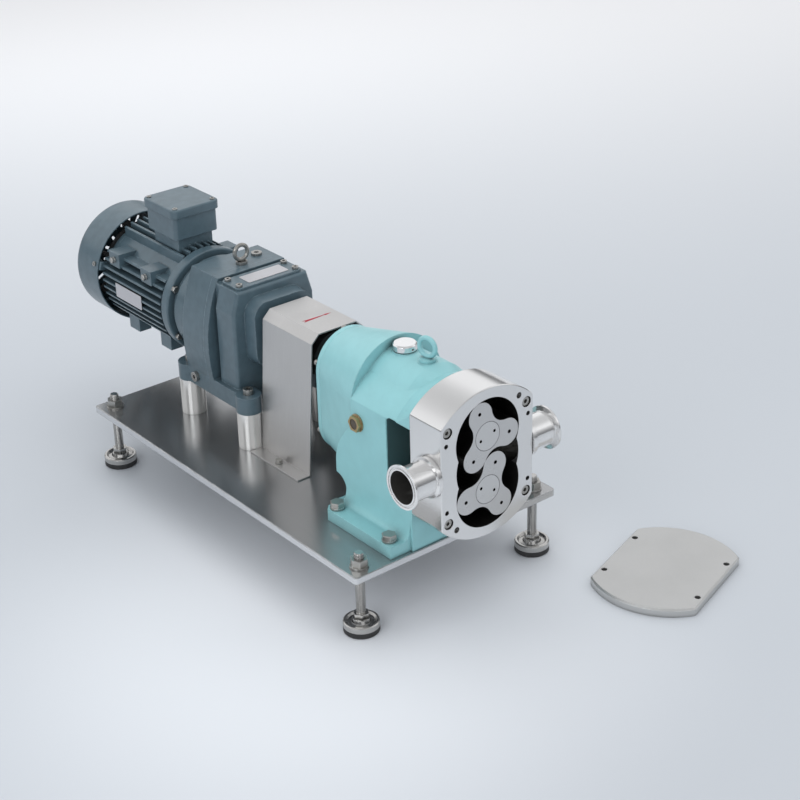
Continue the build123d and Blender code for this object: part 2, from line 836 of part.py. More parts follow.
with BuildPart() as pump_screws:
    for x, z in casing_screw_places:
        head_seat = Plane(
            origin=(x, casing_front + casing_counterbore_depth, pump_z + z), x_dir=(1, 0, 0), z_dir=(0, -1, 0)
        )
        shank = casing_depth - casing_counterbore_depth + casing_screw_grip - 2
        with Locations(head_seat):
            add(socket_screw(casing_head_radius, casing_head_height, casing_screw_radius, shank))
    for x, z in rear_cover_screw_places:
        head_seat = Plane(
            origin=(x, drum_rear + rear_cover_thickness, z), x_dir=(1, 0, 0), z_dir=(0, 1, 0)
        )
        with Locations(head_seat):
            add(socket_screw(4.5, 5.0, rear_cover_screw_radius, rear_cover_thickness + rear_cover_screw_grip - 1))
finish(pump_screws, "pump_screws")

# Clamp ferrules: the suction port to the left, the discharge port to the right.
for side, name in ((-1, "suction_port"), (1, "discharge_port")):
    with BuildPart() as port:
        with BuildSketch(Plane(origin=(0, port_y, pump_z), x_dir=(side, 0, 0), z_dir=(0, -side, 0))):
            Polygon(
                (casing_half_width, port_bore_radius),
                (port_face_x, port_bore_radius),
                (port_face_x, port_neck_radius + gasket_groove_inner),
                (port_face_x - gasket_groove_depth, port_neck_radius + gasket_groove_inner),
                (port_face_x - gasket_groove_depth, port_neck_radius + gasket_groove_outer),
                (port_face_x, port_neck_radius + gasket_groove_outer),
                (port_face_x, ferrule_radius),
                (port_face_x - ferrule_rim, ferrule_radius),
                (port_face_x - ferrule_rim - ferrule_taper, port_neck_radius),
                (casing_half_width + port_collar_length, port_neck_radius),
                (casing_half_width + port_collar_length - 1.5, port_collar_radius),
                (casing_half_width, port_collar_radius),
                align=None,
            )
        revolve(axis=Axis((0, port_y, pump_z), (1, 0, 0)))
    finish(port, name)

# The front cover is off the pump and lies face up on the floor.
cover_plane = Plane.XY * Location((cover_x, cover_y, 0), (0, 0, cover_turn))
with BuildPart() as front_cover:
    with BuildSketch(cover_plane) as cover_sketch:
        Circle(casing_radius)
        Rectangle(2 * casing_half_width, 2 * casing_radius, mode=Mode.INTERSECT)
        fillet(cover_sketch.vertices(), casing_corner)
    extrude(amount=cover_thickness)
    chamfer(front_cover.faces().sort_by(Axis.Z)[-1].outer_wire().edges(), cover_bevel)
    with BuildSketch(cover_plane):
        with Locations(*cover_hole_places):
            Circle(cover_hole_radius)
    extrude(amount=cover_thickness, mode=Mode.SUBTRACT)
finish(front_cover, "front_cover")

# ================================================================ rotors
# Lobe tips are arcs about centres at lobe_offset. The waists between them are the curves that the
# other rotor's tip arcs sweep as the two turn at equal and opposite speed, and the whole outline is
# drawn rotor_half_gap inside that ideal shape.
pitch_radius = shaft_spacing / 2
tip_radius = chamber_radius - lobe_tip_gap + rotor_half_gap
joint_angle = 90 / lobes
joint_cosine = math.cos(math.radians(joint_angle))
lobe_offset = (tip_radius**2 - pitch_radius**2) / (2 * (tip_radius - pitch_radius * joint_cosine))
lobe_arc = tip_radius - lobe_offset
rotor_front = casing_front + rotor_face_gap
rotor_rear = casing_front + chamber_depth - rotor_face_gap


def inset_joint(lobe_angle, joint):
    # End of a tip arc: the pitch circle point, moved towards the arc's centre by the gap.
    centre = polar(lobe_offset, lobe_angle)
    point = polar(pitch_radius, joint)
    return centre + (point - centre) * ((lobe_arc - rotor_half_gap) / lobe_arc)


def waist_point(waist_angle, roll):
    # Contact point of the mating tip arc, roll degrees from the middle of the waist.
    mating_centre = polar(shaft_spacing, waist_angle + roll) - polar(lobe_offset, waist_angle + 2 * roll)
    pitch_point = polar(pitch_radius, waist_angle + roll)
    normal = (pitch_point - mating_centre).normalized()
    return mating_centre + normal * (lobe_arc + rotor_half_gap)


def lobe_outline(first_lobe):
    # Adds the rotor's outline to the sketch being built, about its current origin.
    with BuildLine() as outline:
        for lobe in range(lobes):
            lobe_angle = first_lobe + 360 / lobes * lobe
            waist_angle = lobe_angle + 180 / lobes
            ThreePointArc(
                inset_joint(lobe_angle, lobe_angle - joint_angle),
                polar(lobe_offset + lobe_arc - rotor_half_gap, lobe_angle),
                inset_joint(lobe_angle, lobe_angle + joint_angle),
            )
            waist = [waist_point(waist_angle, roll) for roll in (-20, -10, 0, 10, 20)]
            Spline(
                inset_joint(lobe_angle, lobe_angle + joint_angle),
                *waist,
                inset_joint(lobe_angle + 360 / lobes, lobe_angle + 360 / lobes - joint_angle),
            )
    return outline


upper_lobe_angle = 270 - (lower_lobe_angle - 90) + 180 / lobes
rotor_build = (
    ("lower_rotor", lower_z, lower_lobe_angle),
    ("upper_rotor", upper_z, upper_lobe_angle),
)
for name, z, first_lobe in rotor_build:
    with BuildPart() as rotor:
        rear_plane = Plane(origin=(0, rotor_rear, z), x_dir=(1, 0, 0), z_dir=(0, -1, 0))
        with BuildSketch(rear_plane):
            make_face(lobe_outline(first_lobe).edges())
            Circle(rotor_bore_radius + seat_gap, mode=Mode.SUBTRACT)
        extrude(amount=rotor_rear - rotor_front)
        with BuildSketch(rear_plane.offset(rotor_rear - rotor_front)):
            Circle(cap_radius + seat_gap)
        extrude(amount=-cap_thickness, mode=Mode.SUBTRACT)
        with BuildSketch(rear_plane.offset(rotor_rear - rotor_front)):
            with PolarLocations(lobe_hole_offset, lobes, first_lobe):
                Circle(lobe_hole_radius)
        extrude(amount=-lobe_hole_depth, mode=Mode.SUBTRACT)
    finish(rotor, name)

for name, z, turn in (("lower_rotor_cap", lower_z, cap_turn_lower), ("upper_rotor_cap", upper_z, cap_turn_upper)):
    with BuildPart() as cap:
        cap_rear = rotor_front + cap_thickness
        round_bar(z, cap_radius, rotor_front, cap_rear)
        round_bar(z, cap_thread_radius, cap_rear, cap_rear + cap_thread_length)
        with BuildSketch(Plane(origin=(0, rotor_front, z), x_dir=(1, 0, 0), z_dir=(0, -1, 0))):
            with PolarLocations(cap_pin_offset, 2, turn):
                Circle(cap_pin_radius)
        extrude(amount=-cap_pin_depth, mode=Mode.SUBTRACT)
    finish(cap, name)

# ================================================================ pump shafts and timing gears
timing_front = timing_rear - timing_width
shaft_front = rotor_front + cap_thickness
drive_shaft_rear = coupling_front + hub_length
for name, z, shaft_rear in (("lower_shaft", lower_z, timing_rear), ("upper_shaft", upper_z, drive_shaft_rear)):
    with BuildPart() as shaft:
        round_bar(z, rotor_bore_radius, shaft_front, rotor_rear)
        round_bar(z, journal_radius + 2, rotor_rear, front_bearing_front - 1)
        round_bar(z, journal_radius, front_bearing_front - 1, timing_front)
        round_bar(z, timing_bore_radius, timing_front, timing_rear)
        if shaft_rear > timing_rear:
            round_bar(z, coupling_shaft_radius, timing_rear, shaft_rear)
        round_cut(z, cap_thread_radius + seat_gap, shaft_front, shaft_front + cap_thread_length + 2)
    finish(shaft, name)

timing_module = shaft_spacing / timing_teeth
timing_build = (
    ("upper_timing_gear", upper_z, -90.0),
    ("lower_timing_gear", lower_z, 90.0 + 180 / timing_teeth),
)
for name, z, tooth_angle in timing_build:
    with BuildPart() as gear:
        with BuildSketch(Plane(origin=(0, timing_rear, z), x_dir=(1, 0, 0), z_dir=(0, -1, 0))):
            spur_gear(timing_module, timing_teeth, tooth_angle)
            Circle(timing_bore_radius + seat_gap, mode=Mode.SUBTRACT)
        extrude(amount=timing_width)
    finish(gear, name)

with BuildPart() as pump_bearings:
    for z in (lower_z, upper_z):
        for front in (front_bearing_front, rear_bearing_rear - pump_bearing_width):
            rear = front + pump_bearing_width
            round_ring(z, pump_bearing_radius - seat_gap, journal_radius + running_gap, front, rear)
finish(pump_bearings, "pump_bearings")

with BuildPart() as shaft_seals:
    for z in (lower_z, upper_z):
        seal_front = casing_rear - seal_seat_depth
        round_ring(z, seal_radius, journal_radius + 2 + running_gap, seal_front, casing_rear + 4)
        round_ring(z, seal_radius - 3, journal_radius + 2 + running_gap, casing_rear + 4, seal_front + seal_length)
finish(shaft_seals, "shaft_seals")

# ================================================================ jaw coupling
front_hub_rear = coupling_front + hub_length
rear_hub_front = front_hub_rear + jaw_length
rear_hub_rear = rear_hub_front + hub_length


def jaws(front, rear, first_jaw):
    # Adds the claws of one hub between the two stations.
    with BuildSketch(Plane(origin=(0, rear, upper_z), x_dir=(1, 0, 0), z_dir=(0, -1, 0))) as claw_sketch:
        for jaw in range(jaw_count):
            middle = first_jaw + 360 / jaw_count * jaw
            with BuildLine() as claw:
                Line(polar(jaw_inner_radius, middle - jaw_angle / 2), polar(coupling_radius, middle - jaw_angle / 2))
                ThreePointArc(
                    polar(coupling_radius, middle - jaw_angle / 2),
                    polar(coupling_radius, middle),
                    polar(coupling_radius, middle + jaw_angle / 2),
                )
                Line(polar(coupling_radius, middle + jaw_angle / 2), polar(jaw_inner_radius, middle + jaw_angle / 2))
                ThreePointArc(
                    polar(jaw_inner_radius, middle + jaw_angle / 2),
                    polar(jaw_inner_radius, middle),
                    polar(jaw_inner_radius, middle - jaw_angle / 2),
                )
            make_face(claw.edges())
    extrude(claw_sketch.sketch, amount=rear - front)


with BuildPart() as pump_coupling_hub:
    round_bar(upper_z, coupling_radius, coupling_front, front_hub_rear)
    jaws(front_hub_rear, rear_hub_front - jaw_gap, 90)
    round_cut(upper_z, coupling_bore + seat_gap, coupling_front, front_hub_rear)
finish(pump_coupling_hub, "pump_coupling_hub")

with BuildPart() as reducer_coupling_hub:
    round_bar(upper_z, coupling_radius, rear_hub_front, rear_hub_rear)
    jaws(front_hub_rear + jaw_gap, rear_hub_front, 90 + 180 / jaw_count)
    round_cut(upper_z, output_shaft_radius + seat_gap, rear_hub_front, rear_hub_rear)
finish(reducer_coupling_hub, "reducer_coupling_hub")

with BuildPart() as coupling_spider:
    spider_front = front_hub_rear + jaw_gap
    spider_rear = rear_hub_front - jaw_gap
    round_bar(upper_z, jaw_inner_radius - jaw_gap, spider_front, spider_rear)
    leg_angle = 180 / jaw_count - jaw_angle - 2
    leg_thickness = 2 * jaw_inner_radius * math.tan(math.radians(leg_angle / 2))
    with BuildSketch(Plane(origin=(0, spider_rear, upper_z), x_dir=(1, 0, 0), z_dir=(0, -1, 0))):
        for leg in range(jaw_count):
            turn = 90 + 90 / jaw_count + 180 / jaw_count * leg
            Rectangle(2 * coupling_radius - 2, leg_thickness, rotation=turn)
    extrude(amount=spider_rear - spider_front)
finish(coupling_spider, "coupling_spider")

# Folded sheet guard over the coupling, with an outward flange along each side.
with BuildPart() as coupling_guard:
    sheet_z = plate_top + guard_sheet / 2
    with BuildSketch(station(guard_rear)):
        with BuildLine():
            Polyline(
                (-guard_flange_x, sheet_z),
                (-guard_foot_x, sheet_z),
                (-guard_shoulder_x, guard_shoulder_z),
                (-guard_top_x, guard_top_z),
                (guard_top_x, guard_top_z),
                (guard_shoulder_x, guard_shoulder_z),
                (guard_foot_x, sheet_z),
                (guard_flange_x, sheet_z),
            )
        trace(line_width=guard_sheet)
    extrude(amount=guard_rear - guard_front)
    with BuildSketch(Plane.XY.offset(plate_top)):
        with Locations(*guard_screw_places):
            Circle(guard_screw_radius + 0.2)
    extrude(amount=guard_sheet, mode=Mode.SUBTRACT)
finish(coupling_guard, "coupling_guard")

with BuildPart() as plate_bolts:
    with Locations(*[(x, y, plate_top + flange_thickness) for x, y in case_bolt_places]):
        add(hex_bolt(case_bolt_flats, case_bolt_head, 3.0, case_bolt_radius, flange_thickness + plate_thickness))
    with BuildSketch(Plane.XY.offset(plate_bottom)):
        with Locations(*case_bolt_places):
            RegularPolygon(case_bolt_flats / 2, 6, major_radius=False)
    extrude(amount=-case_bolt_head)
    with BuildSketch(Plane.XY.offset(plate_bottom)):
        with Locations(*case_bolt_places):
            Circle(case_bolt_radius)
    extrude(amount=-case_bolt_head - 3)
    with Locations(*[(x, y, plate_top + guard_sheet) for x, y in guard_screw_places]):
        add(hex_bolt(10.0, 5.0, 1.6, guard_screw_radius, guard_sheet + plate_thickness + 4))
finish(plate_bolts, "plate_bolts")

# ================================================================ posts and reducer
with BuildPart() as support_posts:
    with BuildSketch(Plane.XY.offset(plate_top)):
        with Locations(*post_places):
            Circle(post_radius)
    extrude(amount=post_top - plate_top)
    with BuildSketch(Plane.XY.offset(plate_top)):
        with Locations(*post_places):
            Circle(post_screw_radius + seat_gap)
    extrude(amount=post_top - plate_top, mode=Mode.SUBTRACT)
finish(support_posts, "support_posts")

rail_top = post_top + rail_height
rail_inner = post_x - post_radius
rail_middle = (rail_side + rail_inner) / 2
cavity_half_width = housing_groove_half_width - 6
cavity_bottom = post_top + 8
cavity_top = housing_low_top - housing_wall
lay_front_bearing_front = housing_front + 3.0
lay_rear_bearing_rear = housing_rear - 4.0


def cavity(front, rear):
    # Cuts the gear space between two stations.
    with BuildSketch(station(rear)) as space:
        with Locations((0, (cavity_bottom + cavity_top) / 2)):
            RectangleRounded(2 * cavity_half_width, cavity_top - cavity_bottom, 14)
    extrude(space.sketch, amount=rear - front, mode=Mode.SUBTRACT)


with BuildPart() as reducer_housing:
    housing_sections = (
        (housing_front, housing_groove, housing_half_width),
        (housing_groove, housing_step, housing_groove_half_width),
    )
    for front, rear, half_width in housing_sections:
        with BuildSketch(station(rear)):
            with BuildLine():
                Polyline(
                    (-half_width, post_top),
                    (-half_width, housing_shoulder_z),
                    (-housing_top_half_width, housing_low_top),
                    (housing_top_half_width, housing_low_top),
                    (half_width, housing_shoulder_z),
                    (half_width, post_top),
                    close=True,
                )
            make_face()
        extrude(amount=rear - front)
        if front == housing_front:
            front_edges = reducer_housing.faces().sort_by(Axis.Y)[0].edges().sort_by(Axis.Z)[1:]
            fillet(front_edges, housing_edge)
    # Bowed joint flange, level with the input cover behind it.
    with BuildSketch(station(housing_split)):
        barrel(barrel_half_width, housing_top, post_top)
    extrude(amount=housing_split - housing_step)
    # Foot rails over the posts.
    for side in (-1, 1):
        with BuildSketch(Plane.XY.offset(post_top)):
            with Locations((side * rail_middle, (post_front_y + housing_split) / 2)):
                Rectangle(rail_side - rail_inner, housing_split - post_front_y)
            with Locations((side * post_x, post_front_y)):
                Circle(post_radius)
        extrude(amount=rail_height)
    # Output boss with its bearing seat.
    with BuildSketch(station(housing_front)):
        with Locations((0, upper_z)):
            RectangleRounded(2 * boss_half_width, 2 * boss_half_width, boss_corner)
    extrude(amount=housing_front - boss_front, taper=4)
    cavity(housing_front + housing_wall, web_front)
    cavity(web_rear, housing_split)
    round_cut(upper_z, output_bearing_radius, boss_front + boss_lip, housing_front + housing_wall)
    round_cut(upper_z, reducer_seal_radius, boss_front, boss_front + boss_lip)
    round_cut(upper_z, output_web_bearing_radius, web_front, web_rear)
    round_cut(lay_z, lay_bearing_radius, lay_front_bearing_front, housing_front + housing_wall)
    round_cut(lay_z, lay_web_hole_radius, web_front, web_rear)
    # Opening for the inspection cover.
    with BuildSketch(Plane.XY.offset(housing_low_top)):
        with Locations((0, (housing_front + housing_step) / 2)):
            Rectangle(2 * inspection_half_width - 24, housing_step - housing_front - 24)
    extrude(amount=-housing_wall - 2, mode=Mode.SUBTRACT)
    with BuildSketch(Plane.XY.offset(post_top)):
        with Locations(*post_places):
            Circle(post_screw_radius + 0.3)
    extrude(amount=rail_height, mode=Mode.SUBTRACT)
finish(reducer_housing, "reducer_housing")

with BuildPart() as inspection_cover:
    with BuildSketch(Plane.XY.offset(housing_low_top)) as inspection_sketch:
        with Locations((0, (housing_front + housing_step) / 2)):
            Rectangle(2 * inspection_half_width, housing_step - housing_front - 2 * inspection_inset)
        chamfer(inspection_sketch.vertices(), inspection_inset)
    extrude(amount=inspection_thickness)
finish(inspection_cover, "inspection_cover")

inspection_edge = inspection_inset + inspection_screw_inset
inspection_screw_places = [
    (sx * (inspection_half_width - inspection_screw_inset), y)
    for sx in (-1, 1)
    for y in (housing_front + inspection_edge, housing_step - inspection_edge)
]
with BuildPart() as input_cover:
    with BuildSketch(station(housing_rear)):
        barrel(barrel_half_width, housing_top, post_top)
    extrude(amount=housing_rear - housing_split)
    for side in (-1, 1):
        with BuildSketch(Plane.XY.offset(post_top)):
            with Locations((side * rail_middle, (post_rear_y + housing_split) / 2)):
                Rectangle(rail_side - rail_inner, post_rear_y - housing_split)
            with Locations((side * post_x, post_rear_y)):
                Circle(post_radius)
        extrude(amount=rail_height)
    # Round adaptor to the motor, stepped in before the motor's ring.
    round_bar(motor_z, adaptor_radius, housing_rear, adaptor_rear - 8)
    round_bar(motor_z, adaptor_radius - 4, adaptor_rear - 8, adaptor_rear)
    cavity(housing_split, housing_rear - housing_wall)
    round_cut(motor_z, adaptor_bore_radius, housing_rear, adaptor_rear)
    round_cut(motor_z, pinion_opening_radius, housing_rear - housing_wall, housing_rear)
    round_cut(lay_z, lay_bearing_radius, housing_rear - housing_wall, lay_rear_bearing_rear)
    with BuildSketch(Plane.XY.offset(post_top)):
        with Locations(*post_places):
            Circle(post_screw_radius + 0.3)
    extrude(amount=rail_height, mode=Mode.SUBTRACT)
    with BuildSketch(Plane.XY.offset(housing_top)):
        with Locations((0, reducer_eye_y)):
            Circle(4.0 + seat_gap)
    extrude(amount=-10, mode=Mode.SUBTRACT)
    # Side pockets for the socket plugs in the rear feet.
    for side in (-1, 1):
        with BuildSketch(side_plane(side * (post_x + post_radius))):
            with Locations((foot_plug_y, foot_plug_z)):
                Circle(foot_plug_radius)
        extrude(amount=-side * foot_plug_depth, mode=Mode.SUBTRACT)
finish(input_cover, "input_cover")

with BuildPart() as reducer_screws:
    with Locations(*[(x, y, rail_top) for x, y in post_places]):
        add(socket_screw(8.0, 9.0, post_screw_radius, rail_height + 22))
    with Locations(*[Location((x, y, plate_bottom), (180, 0, 0)) for x, y in post_places]):
        add(socket_screw(8.0, 6.0, post_screw_radius, plate_thickness + 22))
    with Locations(*[(x, y, housing_low_top + inspection_thickness) for x, y in inspection_screw_places]):
        add(socket_screw(5.0, 4.0))
    for side in (-1, 1):
        with BuildSketch(side_plane(side * (post_x + post_radius - foot_plug_depth))):
            with Locations((foot_plug_y, foot_plug_z)):
                Circle(foot_plug_radius - seat_gap)
                RegularPolygon(3.5, 6, mode=Mode.SUBTRACT)
        extrude(amount=side * (foot_plug_depth - 1.5))
    with Locations((top_plug_x, top_plug_y, housing_top)):
        add(socket_screw(8.5, 4.0))
finish(reducer_screws, "reducer_screws")

with BuildPart() as reducer_lifting_eye:
    with Locations((0, reducer_eye_y, housing_top)):
        add(lifting_eye(15.0, 3.2, 9.0, 4.5, 4.0, 9.0))
finish(reducer_lifting_eye, "reducer_lifting_eye")

with BuildPart() as output_shaft:
    round_bar(upper_z, output_shaft_radius, rear_hub_front, web_rear)
finish(output_shaft, "output_shaft")

with BuildPart() as output_gear:
    gear_rear = output_gear_front + output_gear_width
    with BuildSketch(Plane(origin=(0, gear_rear, upper_z), x_dir=(1, 0, 0), z_dir=(0, -1, 0))):
        spur_gear(reducer_module, output_teeth, -90.0)
        Circle(output_shaft_radius + seat_gap, mode=Mode.SUBTRACT)
    extrude(amount=output_gear_width)
finish(output_gear, "output_gear")

# Layshaft in one piece with its pinion; the wheel is pressed on behind the web.
with BuildPart() as layshaft:
    round_bar(lay_z, lay_shaft_radius, lay_front_bearing_front, lay_rear_bearing_rear)
    with BuildSketch(Plane(origin=(0, gear_rear, lay_z), x_dir=(1, 0, 0), z_dir=(0, -1, 0))):
        spur_gear(reducer_module, lay_pinion_teeth, 90.0 + 180 / lay_pinion_teeth)
    extrude(amount=output_gear_width)
finish(layshaft, "layshaft")

with BuildPart() as layshaft_wheel:
    wheel_rear = lay_wheel_front + lay_wheel_width
    with BuildSketch(Plane(origin=(0, wheel_rear, lay_z), x_dir=(1, 0, 0), z_dir=(0, -1, 0))):
        spur_gear(reducer_module, lay_wheel_teeth, 90.0 + 180 / lay_wheel_teeth)
        Circle(lay_shaft_radius + seat_gap, mode=Mode.SUBTRACT)
    extrude(amount=lay_wheel_width)
finish(layshaft_wheel, "layshaft_wheel")

# ================================================================ motor
flange_bolt_angles = (30, 150, 210, 330)
with BuildPart() as front_end_shield:
    round_bar(motor_z, adaptor_radius - 6, adaptor_rear, motor_ring_front)
    round_bar(motor_z, motor_ring_radius, motor_ring_front, motor_ring_rear)
    round_cut(motor_z, motor_bearing_radius, motor_ring_rear - motor_bearing_width, motor_ring_rear)
    round_cut(motor_z, motor_shaft_radius + 4, adaptor_rear, motor_ring_rear)
    fillet(front_end_shield.faces().filter_by(GeomType.CYLINDER).sort_by(SortBy.AREA)[-1].edges(), 3)
finish(front_end_shield, "front_end_shield")

with BuildPart() as motor_frame:
    with BuildSketch(Plane(origin=(0, frame_rear, motor_z), x_dir=(1, 0, 0), z_dir=(0, -1, 0))):
        Circle(frame_radius)
        # Fins stand out level at the sides and upright above and below, cut off by one circle.
        with Locations(*[(0, fin_pitch * level) for level in range(-4, 5)]):
            Rectangle(2 * fin_radius, fin_thickness)
        with Locations(*[(fin_pitch * level, 0) for level in range(-3, 4)]):
            Rectangle(fin_thickness, 2 * fin_radius)
        Circle(fin_radius, mode=Mode.INTERSECT)
        Circle(frame_bore, mode=Mode.SUBTRACT)
    extrude(amount=frame_rear - motor_ring_rear)
    # Saddle under the terminal box.
    with BuildSketch(Plane.XY.offset(box_bottom)):
        with Locations((0, (box_front + box_rear) / 2)):
            Rectangle(2 * (box_half_width - saddle_inset), box_rear - box_front - 2 * saddle_inset)
    extrude(amount=-saddle_height)
    # Cast pads for feet: two along each side high up, two along each side underneath.
    for y in (pad_front_y, pad_rear_y):
        for side in (-1, 1):
            with BuildSketch(Plane.XY.offset(motor_z + pad_low)):
                with Locations((side * (pad_reach - pad_depth / 2), y)):
                    Rectangle(pad_depth, pad_length)
            extrude(amount=pad_high - pad_low)
            with BuildSketch(Plane.XY.offset(motor_z - foot_pad_low)):
                with Locations((side * foot_pad_x, y - foot_pad_shift)):
                    Rectangle(foot_pad_width, pad_length)
            extrude(amount=foot_pad_height)
    with BuildSketch(station(frame_rear)):
        with Locations((0, motor_z)):
            Circle(frame_bore)
    extrude(amount=frame_rear - motor_ring_rear, mode=Mode.SUBTRACT)
finish(motor_frame, "motor_frame")

rear_bearing_rear_y = frame_rear - end_shield_spigot + motor_rear_bearing_width
with BuildPart() as rear_end_shield:
    shield_rear = frame_rear + end_shield_plate
    round_bar(motor_z, frame_radius, frame_rear, shield_rear)
    round_bar(motor_z, frame_bore - seat_gap, frame_rear - end_shield_spigot, frame_rear)
    # Four lugs reach out and back round the fan to carry the cowl.
    for inner, rear in ((frame_bore, shield_rear), (fan_radius + fan_clearance, cowl_front + cowl_lug_length)):
        with BuildSketch(Plane(origin=(0, rear, motor_z), x_dir=(1, 0, 0), z_dir=(0, -1, 0))):
            with PolarLocations((inner + cowl_radius) / 2, cowl_screws, start_angle=cowl_screw_angle):
                Rectangle(cowl_radius - inner, cowl_lug_width)
            Circle(cowl_radius - cowl_wall - seat_gap, mode=Mode.INTERSECT)
        extrude(amount=rear - frame_rear)
    round_cut(motor_z, motor_bearing_radius, frame_rear - end_shield_spigot, rear_bearing_rear_y)
    round_cut(motor_z, motor_shaft_radius + shaft_clearance, rear_bearing_rear_y, shield_rear)
finish(rear_end_shield, "rear_end_shield")

with BuildPart() as stator:
    round_ring(motor_z, frame_bore - seat_gap, stator_bore, stator_front, stator_rear)
    round_ring(motor_z, frame_bore - 6, stator_bore + 3, stator_front - 14, stator_front)
    round_ring(motor_z, frame_bore - 6, stator_bore + 3, stator_rear, stator_rear + 14)
finish(stator, "stator")

motor_bearing_front = motor_ring_rear - motor_bearing_width
with BuildPart() as drive_bearings:
    inner = output_shaft_radius + running_gap
    seat = output_bearing_radius - seat_gap
    round_ring(upper_z, seat, inner, boss_front + boss_lip + 2, boss_front + boss_lip + 2 + output_bearing_width)
    round_ring(upper_z, reducer_seal_radius - seat_gap, inner, boss_front + 1, boss_front + boss_lip)
    round_ring(upper_z, output_web_bearing_radius - seat_gap, inner, web_front, web_rear)
    seat = lay_bearing_radius - seat_gap
    inner = lay_shaft_radius + running_gap
    round_ring(lay_z, seat, inner, lay_front_bearing_front, lay_front_bearing_front + lay_bearing_width)
    round_ring(lay_z, seat, inner, lay_rear_bearing_rear - lay_bearing_width + 1, lay_rear_bearing_rear)
    seat = motor_bearing_radius - seat_gap
    inner = motor_shaft_radius + running_gap
    round_ring(motor_z, seat, inner, motor_bearing_front, motor_ring_rear)
    round_ring(motor_z, seat, inner, frame_rear - end_shield_spigot, rear_bearing_rear_y)
finish(drive_bearings, "drive_bearings")

with BuildPart() as motor_shaft:
    pinion_rear = lay_wheel_front + lay_wheel_width
    with BuildSketch(Plane(origin=(0, pinion_rear, motor_z), x_dir=(1, 0, 0), z_dir=(0, -1, 0))):
        spur_gear(reducer_module, motor_pinion_teeth, -90.0)
    extrude(amount=lay_wheel_width)
    round_bar(motor_z, motor_shaft_radius, pinion_rear, fan_front + fan_width - 4)
finish(motor_shaft, "motor_shaft")

with BuildPart() as motor_rotor:
    round_ring(motor_z, stator_bore - air_gap, motor_shaft_radius + seat_gap, stator_front, stator_rear)
finish(motor_rotor, "motor_rotor")

with BuildPart() as cooling_fan:
    fan_rear = fan_front + fan_width
    round_bar(motor_z, fan_hub_radius, fan_front, fan_rear)
    round_bar(motor_z, fan_radius - 6, fan_front, fan_front + 2.5)
    with BuildSketch(Plane(origin=(0, fan_rear, motor_z), x_dir=(1, 0, 0), z_dir=(0, -1, 0))):
        with PolarLocations(0, fan_blades):
            with Locations(((fan_hub_radius + fan_radius) / 2 - 2, 0)):
                Rectangle(fan_radius - fan_hub_radius + 4, 2.5)
    extrude(amount=fan_width)
    round_cut(motor_z, motor_shaft_radius + seat_gap, fan_front, fan_rear)
finish(cooling_fan, "cooling_fan")

with BuildPart() as fan_cowl:
    with BuildSketch(Plane(origin=(0, 0, motor_z), x_dir=(1, 0, 0), z_dir=(0, 0, 1))):
        with BuildLine():
            Line((0, cowl_rear), (cowl_radius - cowl_edge, cowl_rear))
            RadiusArc((cowl_radius - cowl_edge, cowl_rear), (cowl_radius, cowl_rear - cowl_edge), cowl_edge)
            Line((cowl_radius, cowl_rear - cowl_edge), (cowl_radius, cowl_front))
            Line((cowl_radius, cowl_front), (cowl_radius - cowl_wall, cowl_front))
            Line((cowl_radius - cowl_wall, cowl_front), (cowl_radius - cowl_wall, cowl_rear - cowl_edge))
            RadiusArc(
                (cowl_radius - cowl_wall, cowl_rear - cowl_edge),
                (cowl_radius - cowl_edge, cowl_rear - cowl_wall),
                -(cowl_edge - cowl_wall),
            )
            Line((cowl_radius - cowl_edge, cowl_rear - cowl_wall), (0, cowl_rear - cowl_wall))
            Line((0, cowl_rear - cowl_wall), (0, cowl_rear))
        make_face()
    revolve(axis=Axis((0, 0, motor_z), (0, 1, 0)))
    # Air slots in the rear face.
    with BuildSketch(Plane(origin=(0, cowl_rear, motor_z), x_dir=(1, 0, 0), z_dir=(0, -1, 0))):
        for ring_radius, slots in ((30.0, 12), (58.0, 24)):
            with PolarLocations(ring_radius, slots):
                SlotOverall(22, 5)
    extrude(amount=2 * cowl_wall, both=True, mode=Mode.SUBTRACT)
finish(fan_cowl, "fan_cowl")

with BuildPart() as terminal_box:
    box_y = (box_front + box_rear) / 2
    box_length = box_rear - box_front
    with BuildSketch(Plane.XY.offset(box_bottom)):
        with Locations((0, box_y)):
            RectangleRounded(2 * box_half_width, box_length, box_corner)
    extrude(amount=box_height)
    with BuildSketch(Plane.XY.offset(box_top)):
        with Locations((0, box_y)):
            RectangleRounded(2 * (box_half_width - box_wall), box_length - 2 * box_wall, box_corner - box_wall)
    extrude(amount=box_wall - box_height, mode=Mode.SUBTRACT)
finish(terminal_box, "terminal_box")

with BuildPart() as terminal_lid:
    with BuildSketch(Plane.XY.offset(box_top)):
        with Locations((0, box_y)):
            RectangleRounded(2 * (box_half_width + lid_overhang), box_length + 2 * lid_overhang, lid_corner)
    extrude(amount=lid_thickness)
    fillet(terminal_lid.faces().sort_by(Axis.Z)[-1].edges(), lid_bevel)
finish(terminal_lid, "terminal_lid")

